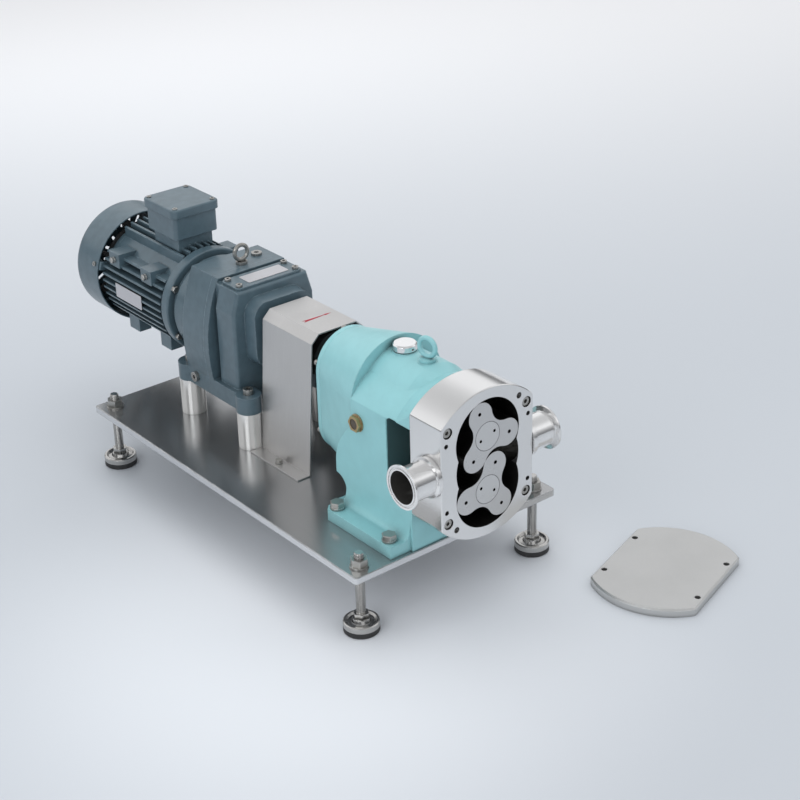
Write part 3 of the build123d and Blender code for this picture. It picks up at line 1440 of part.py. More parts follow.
lid_screw_places = [
    (sx * (box_half_width - lid_screw_inset), y, box_top + lid_thickness)
    for sx in (-1, 1)
    for y in (box_front + lid_screw_inset, box_rear - lid_screw_inset)
]
with BuildPart() as motor_screws:
    for angle in flange_bolt_angles:
        place = polar(motor_ring_radius - 6, angle)
        seat_plane = Plane(
            origin=(place.X, motor_ring_front, motor_z + place.Y), x_dir=(1, 0, 0), z_dir=(0, -1, 0)
        )
        with Locations(seat_plane):
            add(hex_bolt(10.0, 6.0))
    for y in (pad_front_y, pad_rear_y):
        for side in (-1, 1):
            seat_plane = Plane(
                origin=(side * pad_reach, y, motor_z + (pad_low + pad_high) / 2), x_dir=(0, 1, 0), z_dir=(side, 0, 0)
            )
            with Locations(seat_plane):
                add(hex_bolt(9.0, 5.0, 1.5))
    for screw in range(cowl_screws):
        place = polar(cowl_radius, cowl_screw_angle + 360 / cowl_screws * screw)
        head_plane = Plane(
            origin=(place.X, cowl_front + cowl_screw_inset, motor_z + place.Y),
            x_dir=(0, 1, 0),
            z_dir=(place.X, 0, place.Y),
        )
        with Locations(head_plane):
            add(socket_screw(4.0, 2.5))
    with Locations(*lid_screw_places):
        add(socket_screw(lid_screw_head_radius, lid_screw_head))
finish(motor_screws, "motor_screws")

# Bare rating plates on the inspection cover and the motor.
with BuildPart() as nameplates:
    with BuildSketch(Plane.XY.offset(housing_low_top + inspection_thickness)):
        with Locations((nameplate_x, (housing_front + housing_step) / 2)):
            RectangleRounded(nameplate_length, nameplate_width, 2.5)
    extrude(amount=0.8)
    with BuildSketch(side_plane(-fin_radius)):
        with Locations((motor_plate_y, motor_z - 4)):
            RectangleRounded(78, 24, 2)
    extrude(amount=-0.8)
finish(nameplates, "nameplates")
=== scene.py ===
import math

import bmesh
import bpy
from mathutils import Matrix, Vector


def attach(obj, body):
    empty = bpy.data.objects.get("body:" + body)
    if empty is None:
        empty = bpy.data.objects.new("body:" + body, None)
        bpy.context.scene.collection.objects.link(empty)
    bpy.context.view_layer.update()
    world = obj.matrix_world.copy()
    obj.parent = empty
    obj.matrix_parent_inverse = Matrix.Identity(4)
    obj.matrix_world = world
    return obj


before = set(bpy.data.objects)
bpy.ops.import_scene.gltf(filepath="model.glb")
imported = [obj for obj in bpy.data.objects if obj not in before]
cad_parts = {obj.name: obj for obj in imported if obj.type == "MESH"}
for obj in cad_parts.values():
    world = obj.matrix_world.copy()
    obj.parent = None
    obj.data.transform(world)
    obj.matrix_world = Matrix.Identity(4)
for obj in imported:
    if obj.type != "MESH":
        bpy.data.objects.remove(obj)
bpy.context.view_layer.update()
scene = bpy.context.scene
print("frame loaded:", len(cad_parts), "nodes")


# small tools for node trees

def addNode(tree, kind, **values):
    node = tree.nodes.new(kind)
    for name, value in values.items():
        setattr(node, name, value)
    return node


def setInputs(node, **values):
    for name, value in values.items():
        node.inputs[name.replace("_", " ")].default_value = value
    return node


def mathNode(tree, operation, first, second=None, clamp=False):
    node = addNode(tree, "ShaderNodeMath", operation=operation, use_clamp=clamp)
    for socket, value in zip(node.inputs, (first, second)):
        if value is None:
            continue
        if isinstance(value, (int, float)):
            socket.default_value = value
        else:
            tree.links.new(value, socket)
    return node.outputs[0]


def mixColour(tree, factor, first, second, blend="MIX"):
    node = addNode(tree, "ShaderNodeMix", data_type="RGBA", blend_type=blend)
    for index, value in ((0, factor), (6, first), (7, second)):
        if isinstance(value, (int, float)):
            node.inputs[index].default_value = value
        elif isinstance(value, (tuple, list)):
            node.inputs[index].default_value = (*value[:3], 1.0)
        else:
            tree.links.new(value, node.inputs[index])
    return node.outputs[2]


def ramp(tree, value, low, high, lowOut=0.0, highOut=1.0):
    node = addNode(tree, "ShaderNodeMapRange", interpolation_type="SMOOTHSTEP")
    tree.links.new(value, node.inputs[0])
    for index, number in zip((1, 2, 3, 4), (low, high, lowOut, highOut)):
        node.inputs[index].default_value = number
    return node.outputs[0]


def scaleAdd(tree, value, scale, offset):
    socket = mathNode(tree, "MULTIPLY_ADD", value, scale)
    socket.node.inputs[2].default_value = offset
    return socket


def vectorNode(tree, operation, first, second=None):
    node = addNode(tree, "ShaderNodeVectorMath", operation=operation)
    for socket, value in zip(node.inputs, (first, second)):
        if value is None:
            continue
        if isinstance(value, (tuple, Vector)):
            socket.default_value = value
        else:
            tree.links.new(value, socket)
    return node


def splitAxes(tree, vector):
    node = addNode(tree, "ShaderNodeSeparateXYZ")
    tree.links.new(vector, node.inputs[0])
    return node.outputs


def noiseNode(tree, vector, scale, detail, roughness=0.5):
    node = setInputs(addNode(tree, "ShaderNodeTexNoise"), Detail=detail, Roughness=roughness)
    tree.links.new(vector, node.inputs["Vector"])
    if isinstance(scale, (int, float)):
        node.inputs["Scale"].default_value = scale
    else:
        tree.links.new(scale, node.inputs["Scale"])
    return node.outputs[0]


def objectPlace(tree):
    return addNode(tree, "ShaderNodeTexCoord").outputs["Object"]


def newGroup(name, inputs, outputs):
    group = bpy.data.node_groups.new(name, "ShaderNodeTree")
    for label, kind, default in inputs:
        socket = group.interface.new_socket(name=label, in_out="INPUT", socket_type=kind)
        socket.default_value = default
    for label, kind in outputs:
        group.interface.new_socket(name=label, in_out="OUTPUT", socket_type=kind)
    start = group.nodes.new("NodeGroupInput")
    end = group.nodes.new("NodeGroupOutput")
    return group, start, end


# Long fine lines of a brushed or ground face. Stretch is how many lines to a metre along each axis.
def buildBrushLines():
    group, start, end = newGroup(
        "brushLines",
        [("Stretch", "NodeSocketVector", (900.0, 12.0, 900.0)), ("Broad", "NodeSocketFloat", 0.35)],
        [("Line", "NodeSocketFloat"), ("Cloud", "NodeSocketFloat")],
    )
    where = objectPlace(group)
    stretched = vectorNode(group, "MULTIPLY", where, start.outputs["Stretch"]).outputs[0]
    wide = vectorNode(group, "SCALE", stretched)
    group.links.new(start.outputs["Broad"], wide.inputs["Scale"])
    fine = noiseNode(group, stretched, 1.0, 3.0, 0.7)
    coarse = noiseNode(group, wide.outputs[0], 1.0, 2.0, 0.6)
    line = mathNode(group, "ADD", scaleAdd(group, fine, 0.6, 0.5), mathNode(group, "MULTIPLY", coarse, 0.4))
    group.links.new(line, end.inputs["Line"])
    cloud = noiseNode(group, where, 9.0, 4.0, 0.55)
    group.links.new(ramp(group, cloud, 0.35, 0.68), end.inputs["Cloud"])
    return group


# Line where two faces meet, broken up by noise, and the normal that rounds it.
def buildEdgeWearAndHighlight():
    group, start, end = newGroup(
        "edgeWearAndHighlight",
        [("Radius", "NodeSocketFloat", 0.0012), ("Breakup", "NodeSocketFloat", 60.0)],
        [("Edge", "NodeSocketFloat"), ("Soft Normal", "NodeSocketVector")],
    )
    bevel = addNode(group, "ShaderNodeBevel", samples=4)
    group.links.new(start.outputs["Radius"], bevel.inputs["Radius"])
    geometry = addNode(group, "ShaderNodeNewGeometry")
    agree = vectorNode(group, "DOT_PRODUCT", bevel.outputs[0], geometry.outputs["Normal"]).outputs["Value"]
    noise = noiseNode(group, objectPlace(group), start.outputs["Breakup"], 5.0, 0.65)
    broken = mathNode(group, "MULTIPLY", ramp(group, agree, 0.995, 0.86), ramp(group, noise, 0.38, 0.6), clamp=True)
    group.links.new(broken, end.inputs["Edge"])
    group.links.new(bevel.outputs[0], end.inputs["Soft Normal"])
    return group


# Dust and handling dirt with painted shade: corner darkening that is partly dirt and partly painted shade, soft dirt
# patches elsewhere, and painted shade in deep pockets.
def buildGrime():
    group, start, end = newGroup(
        "grime",
        [("Reach", "NodeSocketFloat", 0.02), ("Patch", "NodeSocketFloat", 14.0)],
        [(label, "NodeSocketFloat") for label in ("Corner", "Patches", "Specks", "Deep")],
    )
    where = objectPlace(group)
    near = addNode(group, "ShaderNodeAmbientOcclusion", samples=4)
    group.links.new(start.outputs["Reach"], near.inputs["Distance"])
    wide = addNode(group, "ShaderNodeAmbientOcclusion", samples=4)
    group.links.new(mathNode(group, "MULTIPLY", start.outputs["Reach"], 4.0), wide.inputs["Distance"])
    noise = noiseNode(group, where, start.outputs["Patch"], 6.0, 0.6)
    specks = noiseNode(group, where, 900.0, 2.0)
    corner = ramp(group, near.outputs["AO"], 0.85, 0.25)
    mottled = mathNode(group, "MULTIPLY", corner, ramp(group, noise, 0.25, 0.7, 0.45, 1.0))
    group.links.new(mottled, end.inputs["Corner"])
    group.links.new(ramp(group, noise, 0.42, 0.72), end.inputs["Patches"])
    group.links.new(ramp(group, specks, 0.66, 0.74), end.inputs["Specks"])
    group.links.new(ramp(group, wide.outputs["AO"], 0.5, 0.14), end.inputs["Deep"])
    return group


# Skin of a painted sand casting: fine orange peel over a soft unevenness.
def buildCastSkin():
    group, start, end = newGroup(
        "castSkin",
        [("Peel", "NodeSocketFloat", 700.0), ("Swell", "NodeSocketFloat", 60.0)],
        [("Height", "NodeSocketFloat"), ("Tone", "NodeSocketFloat")],
    )
    where = objectPlace(group)
    peel = noiseNode(group, where, start.outputs["Peel"], 3.0, 0.55)
    swell = noiseNode(group, where, start.outputs["Swell"], 4.0)
    height = mathNode(group, "ADD", mathNode(group, "MULTIPLY", peel, 0.35), swell)
    group.links.new(height, end.inputs["Height"])
    group.links.new(ramp(group, swell, 0.3, 0.7), end.inputs["Tone"])
    return group


# Screw thread seen as fine rings across Z between two heights.
def buildThreadRings():
    group, start, end = newGroup(
        "threadRings",
        [("Pitch", "NodeSocketFloat", 0.0018), ("Low", "NodeSocketFloat", 0.0), ("High", "NodeSocketFloat", 1.0)],
        [("Height", "NodeSocketFloat")],
    )
    height = splitAxes(group, objectPlace(group))["Z"]
    turn = mathNode(group, "DIVIDE", height, start.outputs["Pitch"])
    wave = mathNode(group, "SINE", mathNode(group, "MULTIPLY", turn, 2 * math.pi))
    above = mathNode(group, "GREATER_THAN", height, start.outputs["Low"])
    below = mathNode(group, "LESS_THAN", height, start.outputs["High"])
    group.links.new(mathNode(group, "MULTIPLY", wave, mathNode(group, "MULTIPLY", above, below)), end.inputs["Height"])
    return group


# One inside a round passage about a line, nothing outside it. Across is zero along the line's own axis.
def buildHollow():
    group, start, end = newGroup(
        "hollow",
        [
            ("Centre", "NodeSocketVector", (0.0, 0.0, 0.0)),
            ("Across", "NodeSocketVector", (1.0, 0.0, 1.0)),
            ("Radius", "NodeSocketFloat", 0.02),
        ],
        [("Inside", "NodeSocketFloat")],
    )
    offset = vectorNode(group, "SUBTRACT", objectPlace(group), start.outputs["Centre"]).outputs[0]
    flat = vectorNode(group, "MULTIPLY", offset, start.outputs["Across"]).outputs[0]
    reach = vectorNode(group, "LENGTH", flat).outputs["Value"]
    share = mathNode(group, "DIVIDE", reach, start.outputs["Radius"])
    group.links.new(mathNode(group, "LESS_THAN", share, 1.0), end.inputs["Inside"])
    return group


# One inside a box about a centre, nothing outside it.
def buildPocket():
    group, start, end = newGroup(
        "pocket",
        [("Centre", "NodeSocketVector", (0.0, 0.0, 0.0)), ("Half", "NodeSocketVector", (1.0, 1.0, 1.0))],
        [("Inside", "NodeSocketFloat")],
    )
    offset = vectorNode(group, "SUBTRACT", objectPlace(group), start.outputs["Centre"]).outputs[0]
    shares = splitAxes(group, vectorNode(group, "DIVIDE", offset, start.outputs["Half"]).outputs[0])
    sizes = [mathNode(group, "ABSOLUTE", shares[axis]) for axis in "XYZ"]
    widest = mathNode(group, "MAXIMUM", mathNode(group, "MAXIMUM", sizes[0], sizes[1]), sizes[2])
    group.links.new(mathNode(group, "LESS_THAN", widest, 1.0), end.inputs["Inside"])
    return group


brushLines = buildBrushLines()
edgeWearAndHighlight = buildEdgeWearAndHighlight()
grime = buildGrime()
castSkin = buildCastSkin()
threadRings = buildThreadRings()
hollow = buildHollow()
pocket = buildPocket()
print("shared effects ready")


def startMaterial(name):
    material = bpy.data.materials.new(name)
    material.use_nodes = True
    tree = material.node_tree
    tree.nodes.clear()
    shader = addNode(tree, "ShaderNodeBsdfPrincipled")
    output = addNode(tree, "ShaderNodeOutputMaterial")
    tree.links.new(shader.outputs[0], output.inputs["Surface"])
    return material, tree, shader


def place(tree, group, **values):
    node = addNode(tree, "ShaderNodeGroup", node_tree=group)
    for name, value in values.items():
        node.inputs[name].default_value = value
    return node


def bump(tree, height, strength, distance, normal=None):
    node = setInputs(addNode(tree, "ShaderNodeBump"), Strength=strength, Distance=distance)
    tree.links.new(height, node.inputs["Height"])
    if normal is not None:
        tree.links.new(normal, node.inputs["Normal"])
    return node.outputs[0]


# A layer of one tone over another, as strong as a mask times an amount.
def overlay(tree, tone, mask, amount, layer):
    return mixColour(tree, mathNode(tree, "MULTIPLY", mask, amount), tone, layer)


# How far a face turns away from an axis: one across it, nothing along it.
def turnedFrom(tree, axis, low, high):
    normal = splitAxes(tree, addNode(tree, "ShaderNodeNewGeometry").outputs["Normal"])[axis]
    return ramp(tree, mathNode(tree, "ABSOLUTE", normal), low, high)


# Where the chamber bores, the rotor caps and the port passage run, in metres.
chamberHeights, chamberRadius = (0.2818, 0.1998), 0.0563
capRadius, capSeamOut, capSeamIn = 0.0213, 0.0005, 0.0004
portY, portZ, passageRadius, portBoreRadius = -0.380, 0.2408, 0.0246, 0.0240
chamberAxes = [((0.0, 0.0, z), (1.0, 0.0, 1.0)) for z in chamberHeights]
portLine = ((0.0, portY, portZ), (0.0, 1.0, 1.0))
chamberHollows = [(*axis, chamberRadius) for axis in chamberAxes]
capRings = [(*axis, capRadius) for axis in chamberAxes]

steelTones = {
    "dirtAndShade": (0.10, 0.095, 0.09),
    "edge": (0.92, 0.92, 0.92),
    "insideShade": (0.15, 0.145, 0.135),
    "seam": (0.04, 0.04, 0.04),
    "flankShade": (0.05, 0.047, 0.045),
    "rim": (0.88, 0.89, 0.91),
}
seamAmount, steelBreakup, grainDepth = 0.8, 40.0, 0.0004


# Steel in every finish on the set, from ground plate to mirror polish.
def makeSteel(name, look):
    material, tree, shader = startMaterial(name)
    lines = place(tree, brushLines, Stretch=look["stretch"], Broad=look.get("broad", 0.3))
    edges = place(tree, edgeWearAndHighlight, Radius=look.get("edge", 0.0008), Breakup=steelBreakup)
    dirtAndShade = place(tree, grime, Reach=look.get("reach", 0.012), Patch=look.get("patch", 12.0))
    dark = tuple(c * look.get("shade", 0.8) for c in look["colour"])
    tone = mixColour(tree, lines.outputs["Line"], look["colour"], dark)
    tone = overlay(tree, tone, lines.outputs["Cloud"], look.get("cloud", 0.12), dark)
    # Corner darkening: partly dirt, partly painted shade in corners and creases.
    tone = overlay(tree, tone, dirtAndShade.outputs["Corner"], look.get("dirtAndShade", 0.35), steelTones["dirtAndShade"])
    # Lighter edges: partly edge wear, partly a painted highlight.
    tone = overlay(tree, tone, edges.outputs["Edge"], look.get("bright", 0.4), steelTones["edge"])
    # Painted shade: the chamber bores and port passages are darkened inside.
    for centre, across, radius in look.get("hollows", ()):
        inside = place(tree, hollow, Centre=centre, Across=across, Radius=radius)
        tone = overlay(tree, tone, inside.outputs[0], look.get("insideShade", 0.95), steelTones["insideShade"])
    for centre, across, radius in look.get("rings", ()):
        outer = place(tree, hollow, Centre=centre, Across=across, Radius=radius + capSeamOut)
        inner = place(tree, hollow, Centre=centre, Across=across, Radius=radius - capSeamIn)
        seam = mathNode(tree, "SUBTRACT", outer.outputs[0], inner.outputs[0])
        tone = overlay(tree, tone, seam, seamAmount, steelTones["seam"])
    # Painted shade on faces turned away from the Y axis.
    if "flankShade" in look:
        tone = overlay(tree, tone, turnedFrom(tree, "Y", 0.8, 0.5), look["flankShade"], steelTones["flankShade"])
    # Painted highlight: faces turned away from the Z axis are painted lighter.
    if "rim" in look:
        tone = overlay(tree, tone, turnedFrom(tree, "Z", 0.8, 0.4), look["rim"], steelTones["rim"])
    tree.links.new(tone, shader.inputs["Base Color"])
    spread = look.get("roughSpread", 0.12)
    rough = scaleAdd(tree, lines.outputs["Line"], spread, look["rough"] - spread / 2)
    smear = mathNode(tree, "MULTIPLY", dirtAndShade.outputs["Patches"], look.get("smear", 0.06))
    tree.links.new(mathNode(tree, "ADD", rough, smear, clamp=True), shader.inputs["Roughness"])
    shader.inputs["Metallic"].default_value = look.get("metallic", 1.0)
    shader.inputs["Anisotropic"].default_value = look.get("anisotropic", 0.0)
    normal = edges.outputs["Soft Normal"]
    if "thread" in look:
        pitch, low, high = look["thread"]
        rings = place(tree, threadRings, Pitch=pitch, Low=low, High=high)
        normal = bump(tree, rings.outputs[0], 0.5, pitch * 0.25, normal)
    normal = bump(tree, lines.outputs["Line"], look.get("grain", 0.15), grainDepth, normal)
    tree.links.new(normal, shader.inputs["Normal"])
    return material


steelLooks = {
    "groundPlate": dict(
        colour=(0.56, 0.565, 0.57), stretch=(900.0, 9.0, 900.0), rough=0.19, roughSpread=0.08, grain=0.03,
        shade=0.75, cloud=0.1, smear=0.0, anisotropic=0.4, bright=1.0, edge=0.0022, metallic=0.92, rim=0.55,
    ),
    "guardSheet": dict(
        colour=(0.72, 0.71, 0.70), stretch=(700.0, 700.0, 7.0), rough=0.26, roughSpread=0.14, grain=0.08,
        shade=0.80, cloud=0.15, anisotropic=0.3, bright=0.8, metallic=0.85,
    ),
    "postSteel": dict(
        colour=(0.86, 0.85, 0.83), stretch=(60.0, 60.0, 900.0), rough=0.13, roughSpread=0.05, grain=0.03,
        shade=0.9, metallic=0.60,
    ),
    "polishedCasing": dict(
        colour=(0.85, 0.845, 0.84), stretch=(500.0, 30.0, 500.0), rough=0.13, roughSpread=0.05, grain=0.02,
        shade=0.93, smear=0.03, bright=0.8, reach=0.006, dirtAndShade=0.95, metallic=0.96, insideShade=0.92,
        hollows=[*chamberHollows, (*portLine, passageRadius)],
    ),
    "portSteel": dict(
        colour=(0.88, 0.875, 0.87), stretch=(900.0, 60.0, 60.0), rough=0.08, roughSpread=0.04, grain=0.02,
        shade=0.94, insideShade=0.95, metallic=0.78, bright=0.6, hollows=[(*portLine, portBoreRadius)],
    ),
    "coverSteel": dict(
        colour=(0.66, 0.66, 0.65), stretch=(500.0, 500.0, 500.0), rough=0.38, roughSpread=0.1, grain=0.06,
        shade=0.93, cloud=0.1, bright=1.0, edge=0.0014, reach=0.009, dirtAndShade=1.0, metallic=0.9,
    ),
    "rotorSteel": dict(
        colour=(0.70, 0.695, 0.69), stretch=(900.0, 20.0, 700.0), rough=0.24, roughSpread=0.08, grain=0.05,
        shade=0.9, flankShade=0.85, reach=0.005, dirtAndShade=0.95, rings=capRings, bright=0.8,
    ),
    "capSteel": dict(
        colour=(0.72, 0.715, 0.71), stretch=(900.0, 20.0, 700.0), rough=0.20, roughSpread=0.06, grain=0.04,
        shade=0.92, flankShade=0.85, reach=0.004, dirtAndShade=0.95, rings=capRings,
    ),
    "chrome": dict(
        colour=(0.90, 0.90, 0.90), stretch=(300.0, 300.0, 60.0), rough=0.06, roughSpread=0.03, grain=0.01,
        shade=0.95, dirtAndShade=0.5, metallic=0.9,
    ),
    "boltZinc": dict(
        colour=(0.56, 0.55, 0.52), stretch=(300.0, 300.0, 300.0), rough=0.22, roughSpread=0.14, grain=0.06,
        shade=0.75, cloud=0.2, reach=0.004, dirtAndShade=1.0, bright=1.0, metallic=0.97,
    ),
    "studZinc": dict(
        colour=(0.66, 0.65, 0.63), stretch=(60.0, 60.0, 60.0), rough=0.16, roughSpread=0.06, grain=0.02,
        shade=0.8, thread=(0.0018, 0.032, 0.2), dirtAndShade=0.9, bright=1.0, reach=0.022,
    ),
    "machinedSteel": dict(
        colour=(0.58, 0.58, 0.58), stretch=(90.0, 900.0, 90.0), rough=0.28, roughSpread=0.1, grain=0.08, shade=0.85,
    ),
    "barePlate": dict(
        colour=(0.64, 0.64, 0.665), stretch=(500.0, 60.0, 500.0), rough=0.42, roughSpread=0.1, grain=0.05,
        shade=0.9, cloud=0.2, metallic=0.6,
    ),
    "brassRing": dict(
        colour=(0.62, 0.45, 0.21), stretch=(500.0, 500.0, 500.0), rough=0.22, roughSpread=0.12, grain=0.04,
        shade=0.75, dirtAndShade=0.8, reach=0.005, metallic=0.9, bright=0.5,
    ),
}
steels = {name: makeSteel(name, look) for name, look in steelLooks.items()}
print("steels ready:", len(steels))


def scaled(colour, share, lift=0.0):
    return tuple(min(1.0, c * share + lift) for c in colour)


paintBlend = {"tone": 0.5, "patches": 0.3, "pocket": 0.9, "breakup": 80.0, "patch": 18.0, "bumpDepth": 0.0015}


# Enamel on iron castings and pressings.
def makePaint(name, look):
    material, tree, shader = startMaterial(name)
    colour = look["colour"]
    skin = place(tree, castSkin, Peel=look["peel"], Swell=look["swell"])
    edges = place(tree, edgeWearAndHighlight, Radius=look["edge"], Breakup=paintBlend["breakup"])
    dirtAndShade = place(tree, grime, Reach=look["reach"], Patch=paintBlend["patch"])
    tone = overlay(tree, colour, skin.outputs["Tone"], paintBlend["tone"], scaled(colour, look["shade"]))
    tone = overlay(tree, tone, dirtAndShade.outputs["Patches"], paintBlend["patches"], scaled(colour, look["fade"]))
    # Corner darkening: partly dirt, partly painted shade.
    tone = overlay(tree, tone, dirtAndShade.outputs["Corner"], look["dirtAndShade"], scaled(colour, 0.3))
    # Painted shade in the case's open window.
    for centre, half in look.get("pockets", ()):
        inside = place(tree, pocket, Centre=centre, Half=half)
        tone = overlay(tree, tone, inside.outputs[0], paintBlend["pocket"], scaled(colour, 0.12))
    # Painted shade in deep pockets.
    tone = overlay(tree, tone, dirtAndShade.outputs["Deep"], look["deep"], scaled(colour, 0.08))
    # Lighter edges: partly paint wear, partly a painted highlight.
    tone = overlay(tree, tone, edges.outputs["Edge"], look["wornAndHighlight"], scaled(colour, 1.6, 0.05))
    tree.links.new(tone, shader.inputs["Base Color"])
    rough = scaleAdd(tree, skin.outputs["Height"], look["roughSpread"], look["rough"])
    tree.links.new(rough, shader.inputs["Roughness"])
    shader.inputs["Coat Weight"].default_value = look["coat"]
    shader.inputs["Coat Roughness"].default_value = look["coatRough"]
    normal = bump(tree, skin.outputs["Height"], look["bump"], paintBlend["bumpDepth"], edges.outputs["Soft Normal"])
    tree.links.new(normal, shader.inputs["Normal"])
    return material


# The pocket of the turquoise case is the open window at its shaft seals, painted dark as shade.
paintLooks = {
    "caseTurquoise": dict(
        colour=(0.262, 0.545, 0.575), peel=500.0, swell=45.0, edge=0.0022, reach=0.016, shade=0.9, fade=1.08,
        dirtAndShade=0.55, deep=0.9, wornAndHighlight=0.35, rough=0.32, roughSpread=0.12, coat=0.25, coatRough=0.25, bump=0.10,
        pockets=[((0.0, -0.3155, 0.2335), (0.0805, 0.028, 0.0580))],
    ),
    "driveSlate": dict(
        colour=(0.073, 0.119, 0.147), peel=620.0, swell=70.0, edge=0.0024, reach=0.012, shade=0.75, fade=1.3,
        dirtAndShade=0.6, deep=0.25, wornAndHighlight=1.0, rough=0.34, roughSpread=0.14, coat=0.5, coatRough=0.2, bump=0.22,
    ),
}
paints = {name: makePaint(name, look) for name, look in paintLooks.items()}
print("paints ready")


dullBlend = {"reach": 0.01, "patch": 25.0, "tone": 0.4, "roughSpread": 0.15, "bumpDepth": 0.001}
dustTone = (0.35, 0.34, 0.33)


# Rubber, plastics, plain iron and the sight lens.
def makeDull(name, look):
    material, tree, shader = startMaterial(name)
    colour = look["colour"]
    skin = place(tree, castSkin, Peel=look["peel"], Swell=look["swell"])
    dirtAndShade = place(tree, grime, Reach=dullBlend["reach"], Patch=dullBlend["patch"])
    tone = overlay(tree, colour, skin.outputs["Tone"], dullBlend["tone"], scaled(colour, 1.8, 0.015))
    tone = overlay(tree, tone, dirtAndShade.outputs["Specks"], look["dust"], dustTone)
    tree.links.new(tone, shader.inputs["Base Color"])
    rough = scaleAdd(tree, skin.outputs["Height"], dullBlend["roughSpread"], look["rough"])
    tree.links.new(rough, shader.inputs["Roughness"])
    shader.inputs["Metallic"].default_value = look.get("metallic", 0.0)
    tree.links.new(bump(tree, skin.outputs["Height"], look["bump"], dullBlend["bumpDepth"]), shader.inputs["Normal"])
    return material


dullLooks = {
    "padRubber": dict(colour=(0.018, 0.018, 0.019), peel=900.0, swell=90.0, rough=0.5, bump=0.2, dust=0.3),
    "hubIron": dict(colour=(0.10, 0.10, 0.10), peel=800.0, swell=60.0, rough=0.45, bump=0.2, dust=0.1, metallic=1.0),
    "spiderRed": dict(colour=(0.42, 0.07, 0.045), peel=600.0, swell=60.0, rough=0.42, bump=0.1, dust=0.1),
    "coreSteel": dict(colour=(0.06, 0.06, 0.065), peel=900.0, swell=50.0, rough=0.5, bump=0.3, dust=0.1, metallic=1.0),
    "fanPlastic": dict(colour=(0.022, 0.023, 0.024), peel=700.0, swell=60.0, rough=0.5, bump=0.1, dust=0.5),
    "sightLens": dict(colour=(0.05, 0.035, 0.02), peel=300.0, swell=30.0, rough=0.05, bump=0.02, dust=0.0),
}
dulls = {name: makeDull(name, look) for name, look in dullLooks.items()}
print("dull finishes ready")

finishes = {**steels, **paints, **dulls}
nodeFinish = {
    "groundPlate": ["base_plate"],
    "guardSheet": ["coupling_guard"],
    "postSteel": ["support_posts"],
    "polishedCasing": ["rotor_casing"],
    "portSteel": ["suction_port", "discharge_port"],
    "chrome": ["filler_cap"],
    "coverSteel": ["front_cover"],
    "rotorSteel": ["lower_rotor", "upper_rotor"],
    "capSteel": ["lower_rotor_cap", "upper_rotor_cap"],
    "caseTurquoise": ["gear_case", "rear_bearing_cover", "pump_lifting_eye"],
    "driveSlate": [
        "reducer_housing", "input_cover", "inspection_cover", "front_end_shield", "motor_frame",
        "rear_end_shield", "fan_cowl", "terminal_box", "terminal_lid",
    ],
    "boltZinc": ["plate_bolts", "pump_screws", "reducer_screws", "motor_screws", "levelling_nuts", "reducer_lifting_eye"],
    "studZinc": [],
    "padRubber": ["shaft_lip_seal"],
    "machinedSteel": [
        "lower_shaft", "upper_shaft", "output_shaft", "layshaft", "motor_shaft", "upper_timing_gear",
        "lower_timing_gear", "output_gear", "layshaft_wheel", "pump_bearings", "drive_bearings", "shaft_seals",
    ],
    "hubIron": ["pump_coupling_hub", "reducer_coupling_hub"],
    "spiderRed": ["coupling_spider"],
    "coreSteel": ["stator", "motor_rotor"],
    "fanPlastic": ["cooling_fan"],
    "brassRing": ["sight_glass_ring"],
    "sightLens": ["sight_glass_lens"],
    "barePlate": ["nameplates"],
}
for corner in ("front_left", "rear_left", "front_right", "rear_right"):
    nodeFinish["padRubber"].append("foot_pad_" + corner)
    nodeFinish["studZinc"].append("foot_stud_" + corner)
for finish, names in nodeFinish.items():
    for name in names:
        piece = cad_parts[name]
        for slot in piece.material_slots:
            slot.material = finishes[finish]
dressed = {name for names in nodeFinish.values() for name in names}
print("undressed nodes:", sorted(set(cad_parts) - dressed))


# A plain painted dart on top of the guard. Its outline is in shares of its length and metres across.
dartLook = {
    "start": (-0.0265, -0.0275),
    "length": 0.051,
    "height": 0.33022,
    "thick": 0.00015,
    "outline": [(0.0, 0.0030), (0.16, 0.0024), (0.78, 0.0006), (0.76, 0.0024), (1.0, 0.0)],
    "notch": 0.09,
    "colour": (0.42, 0.012, 0.035),
    "deep": 0.55,
    "wornAndHighlight": (0.6, 0.3, 0.32),
    "rough": 0.4,
}


def makeDart(look):
    startX, startY = look["start"]
    below = [(share, -across) for share, across in reversed(look["outline"][:-1])]
    outline = [*look["outline"], *below, (look["notch"], 0.0)]
    mesh = bmesh.new()
    points = [(startX + share * look["length"], startY + across, look["height"]) for share, across in outline]
    corners = [mesh.verts.new(point) for point in points]
    raised = bmesh.ops.extrude_face_region(mesh, geom=[mesh.faces.new(corners)])
    for vertex in raised["geom"]:
        if isinstance(vertex, bmesh.types.BMVert):
            vertex.co.z += look["thick"]
    bmesh.ops.recalc_face_normals(mesh, faces=mesh.faces[:])
    data = bpy.data.meshes.new("directionDart")
    mesh.to_mesh(data)
    mesh.free()
    dart = bpy.data.objects.new("directionDart", data)
    scene.collection.objects.link(dart)
    material, tree, shader = startMaterial("dartRed")
    skin = place(tree, castSkin, Peel=900.0, Swell=180.0)
    edges = place(tree, edgeWearAndHighlight, Radius=0.0004, Breakup=300.0)
    tone = overlay(tree, look["colour"], skin.outputs["Tone"], 0.5, scaled(look["colour"], look["deep"]))
    # Lighter edges: partly wear, partly a painted highlight.
    tone = overlay(tree, tone, edges.outputs["Edge"], 0.4, look["wornAndHighlight"])
    tree.links.new(tone, shader.inputs["Base Color"])
    tree.links.new(scaleAdd(tree, skin.outputs["Height"], 0.2, look["rough"]), shader.inputs["Roughness"])
    data.materials.append(material)
    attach(dart, "base")


makeDart(dartLook)
print("direction dart on the guard")

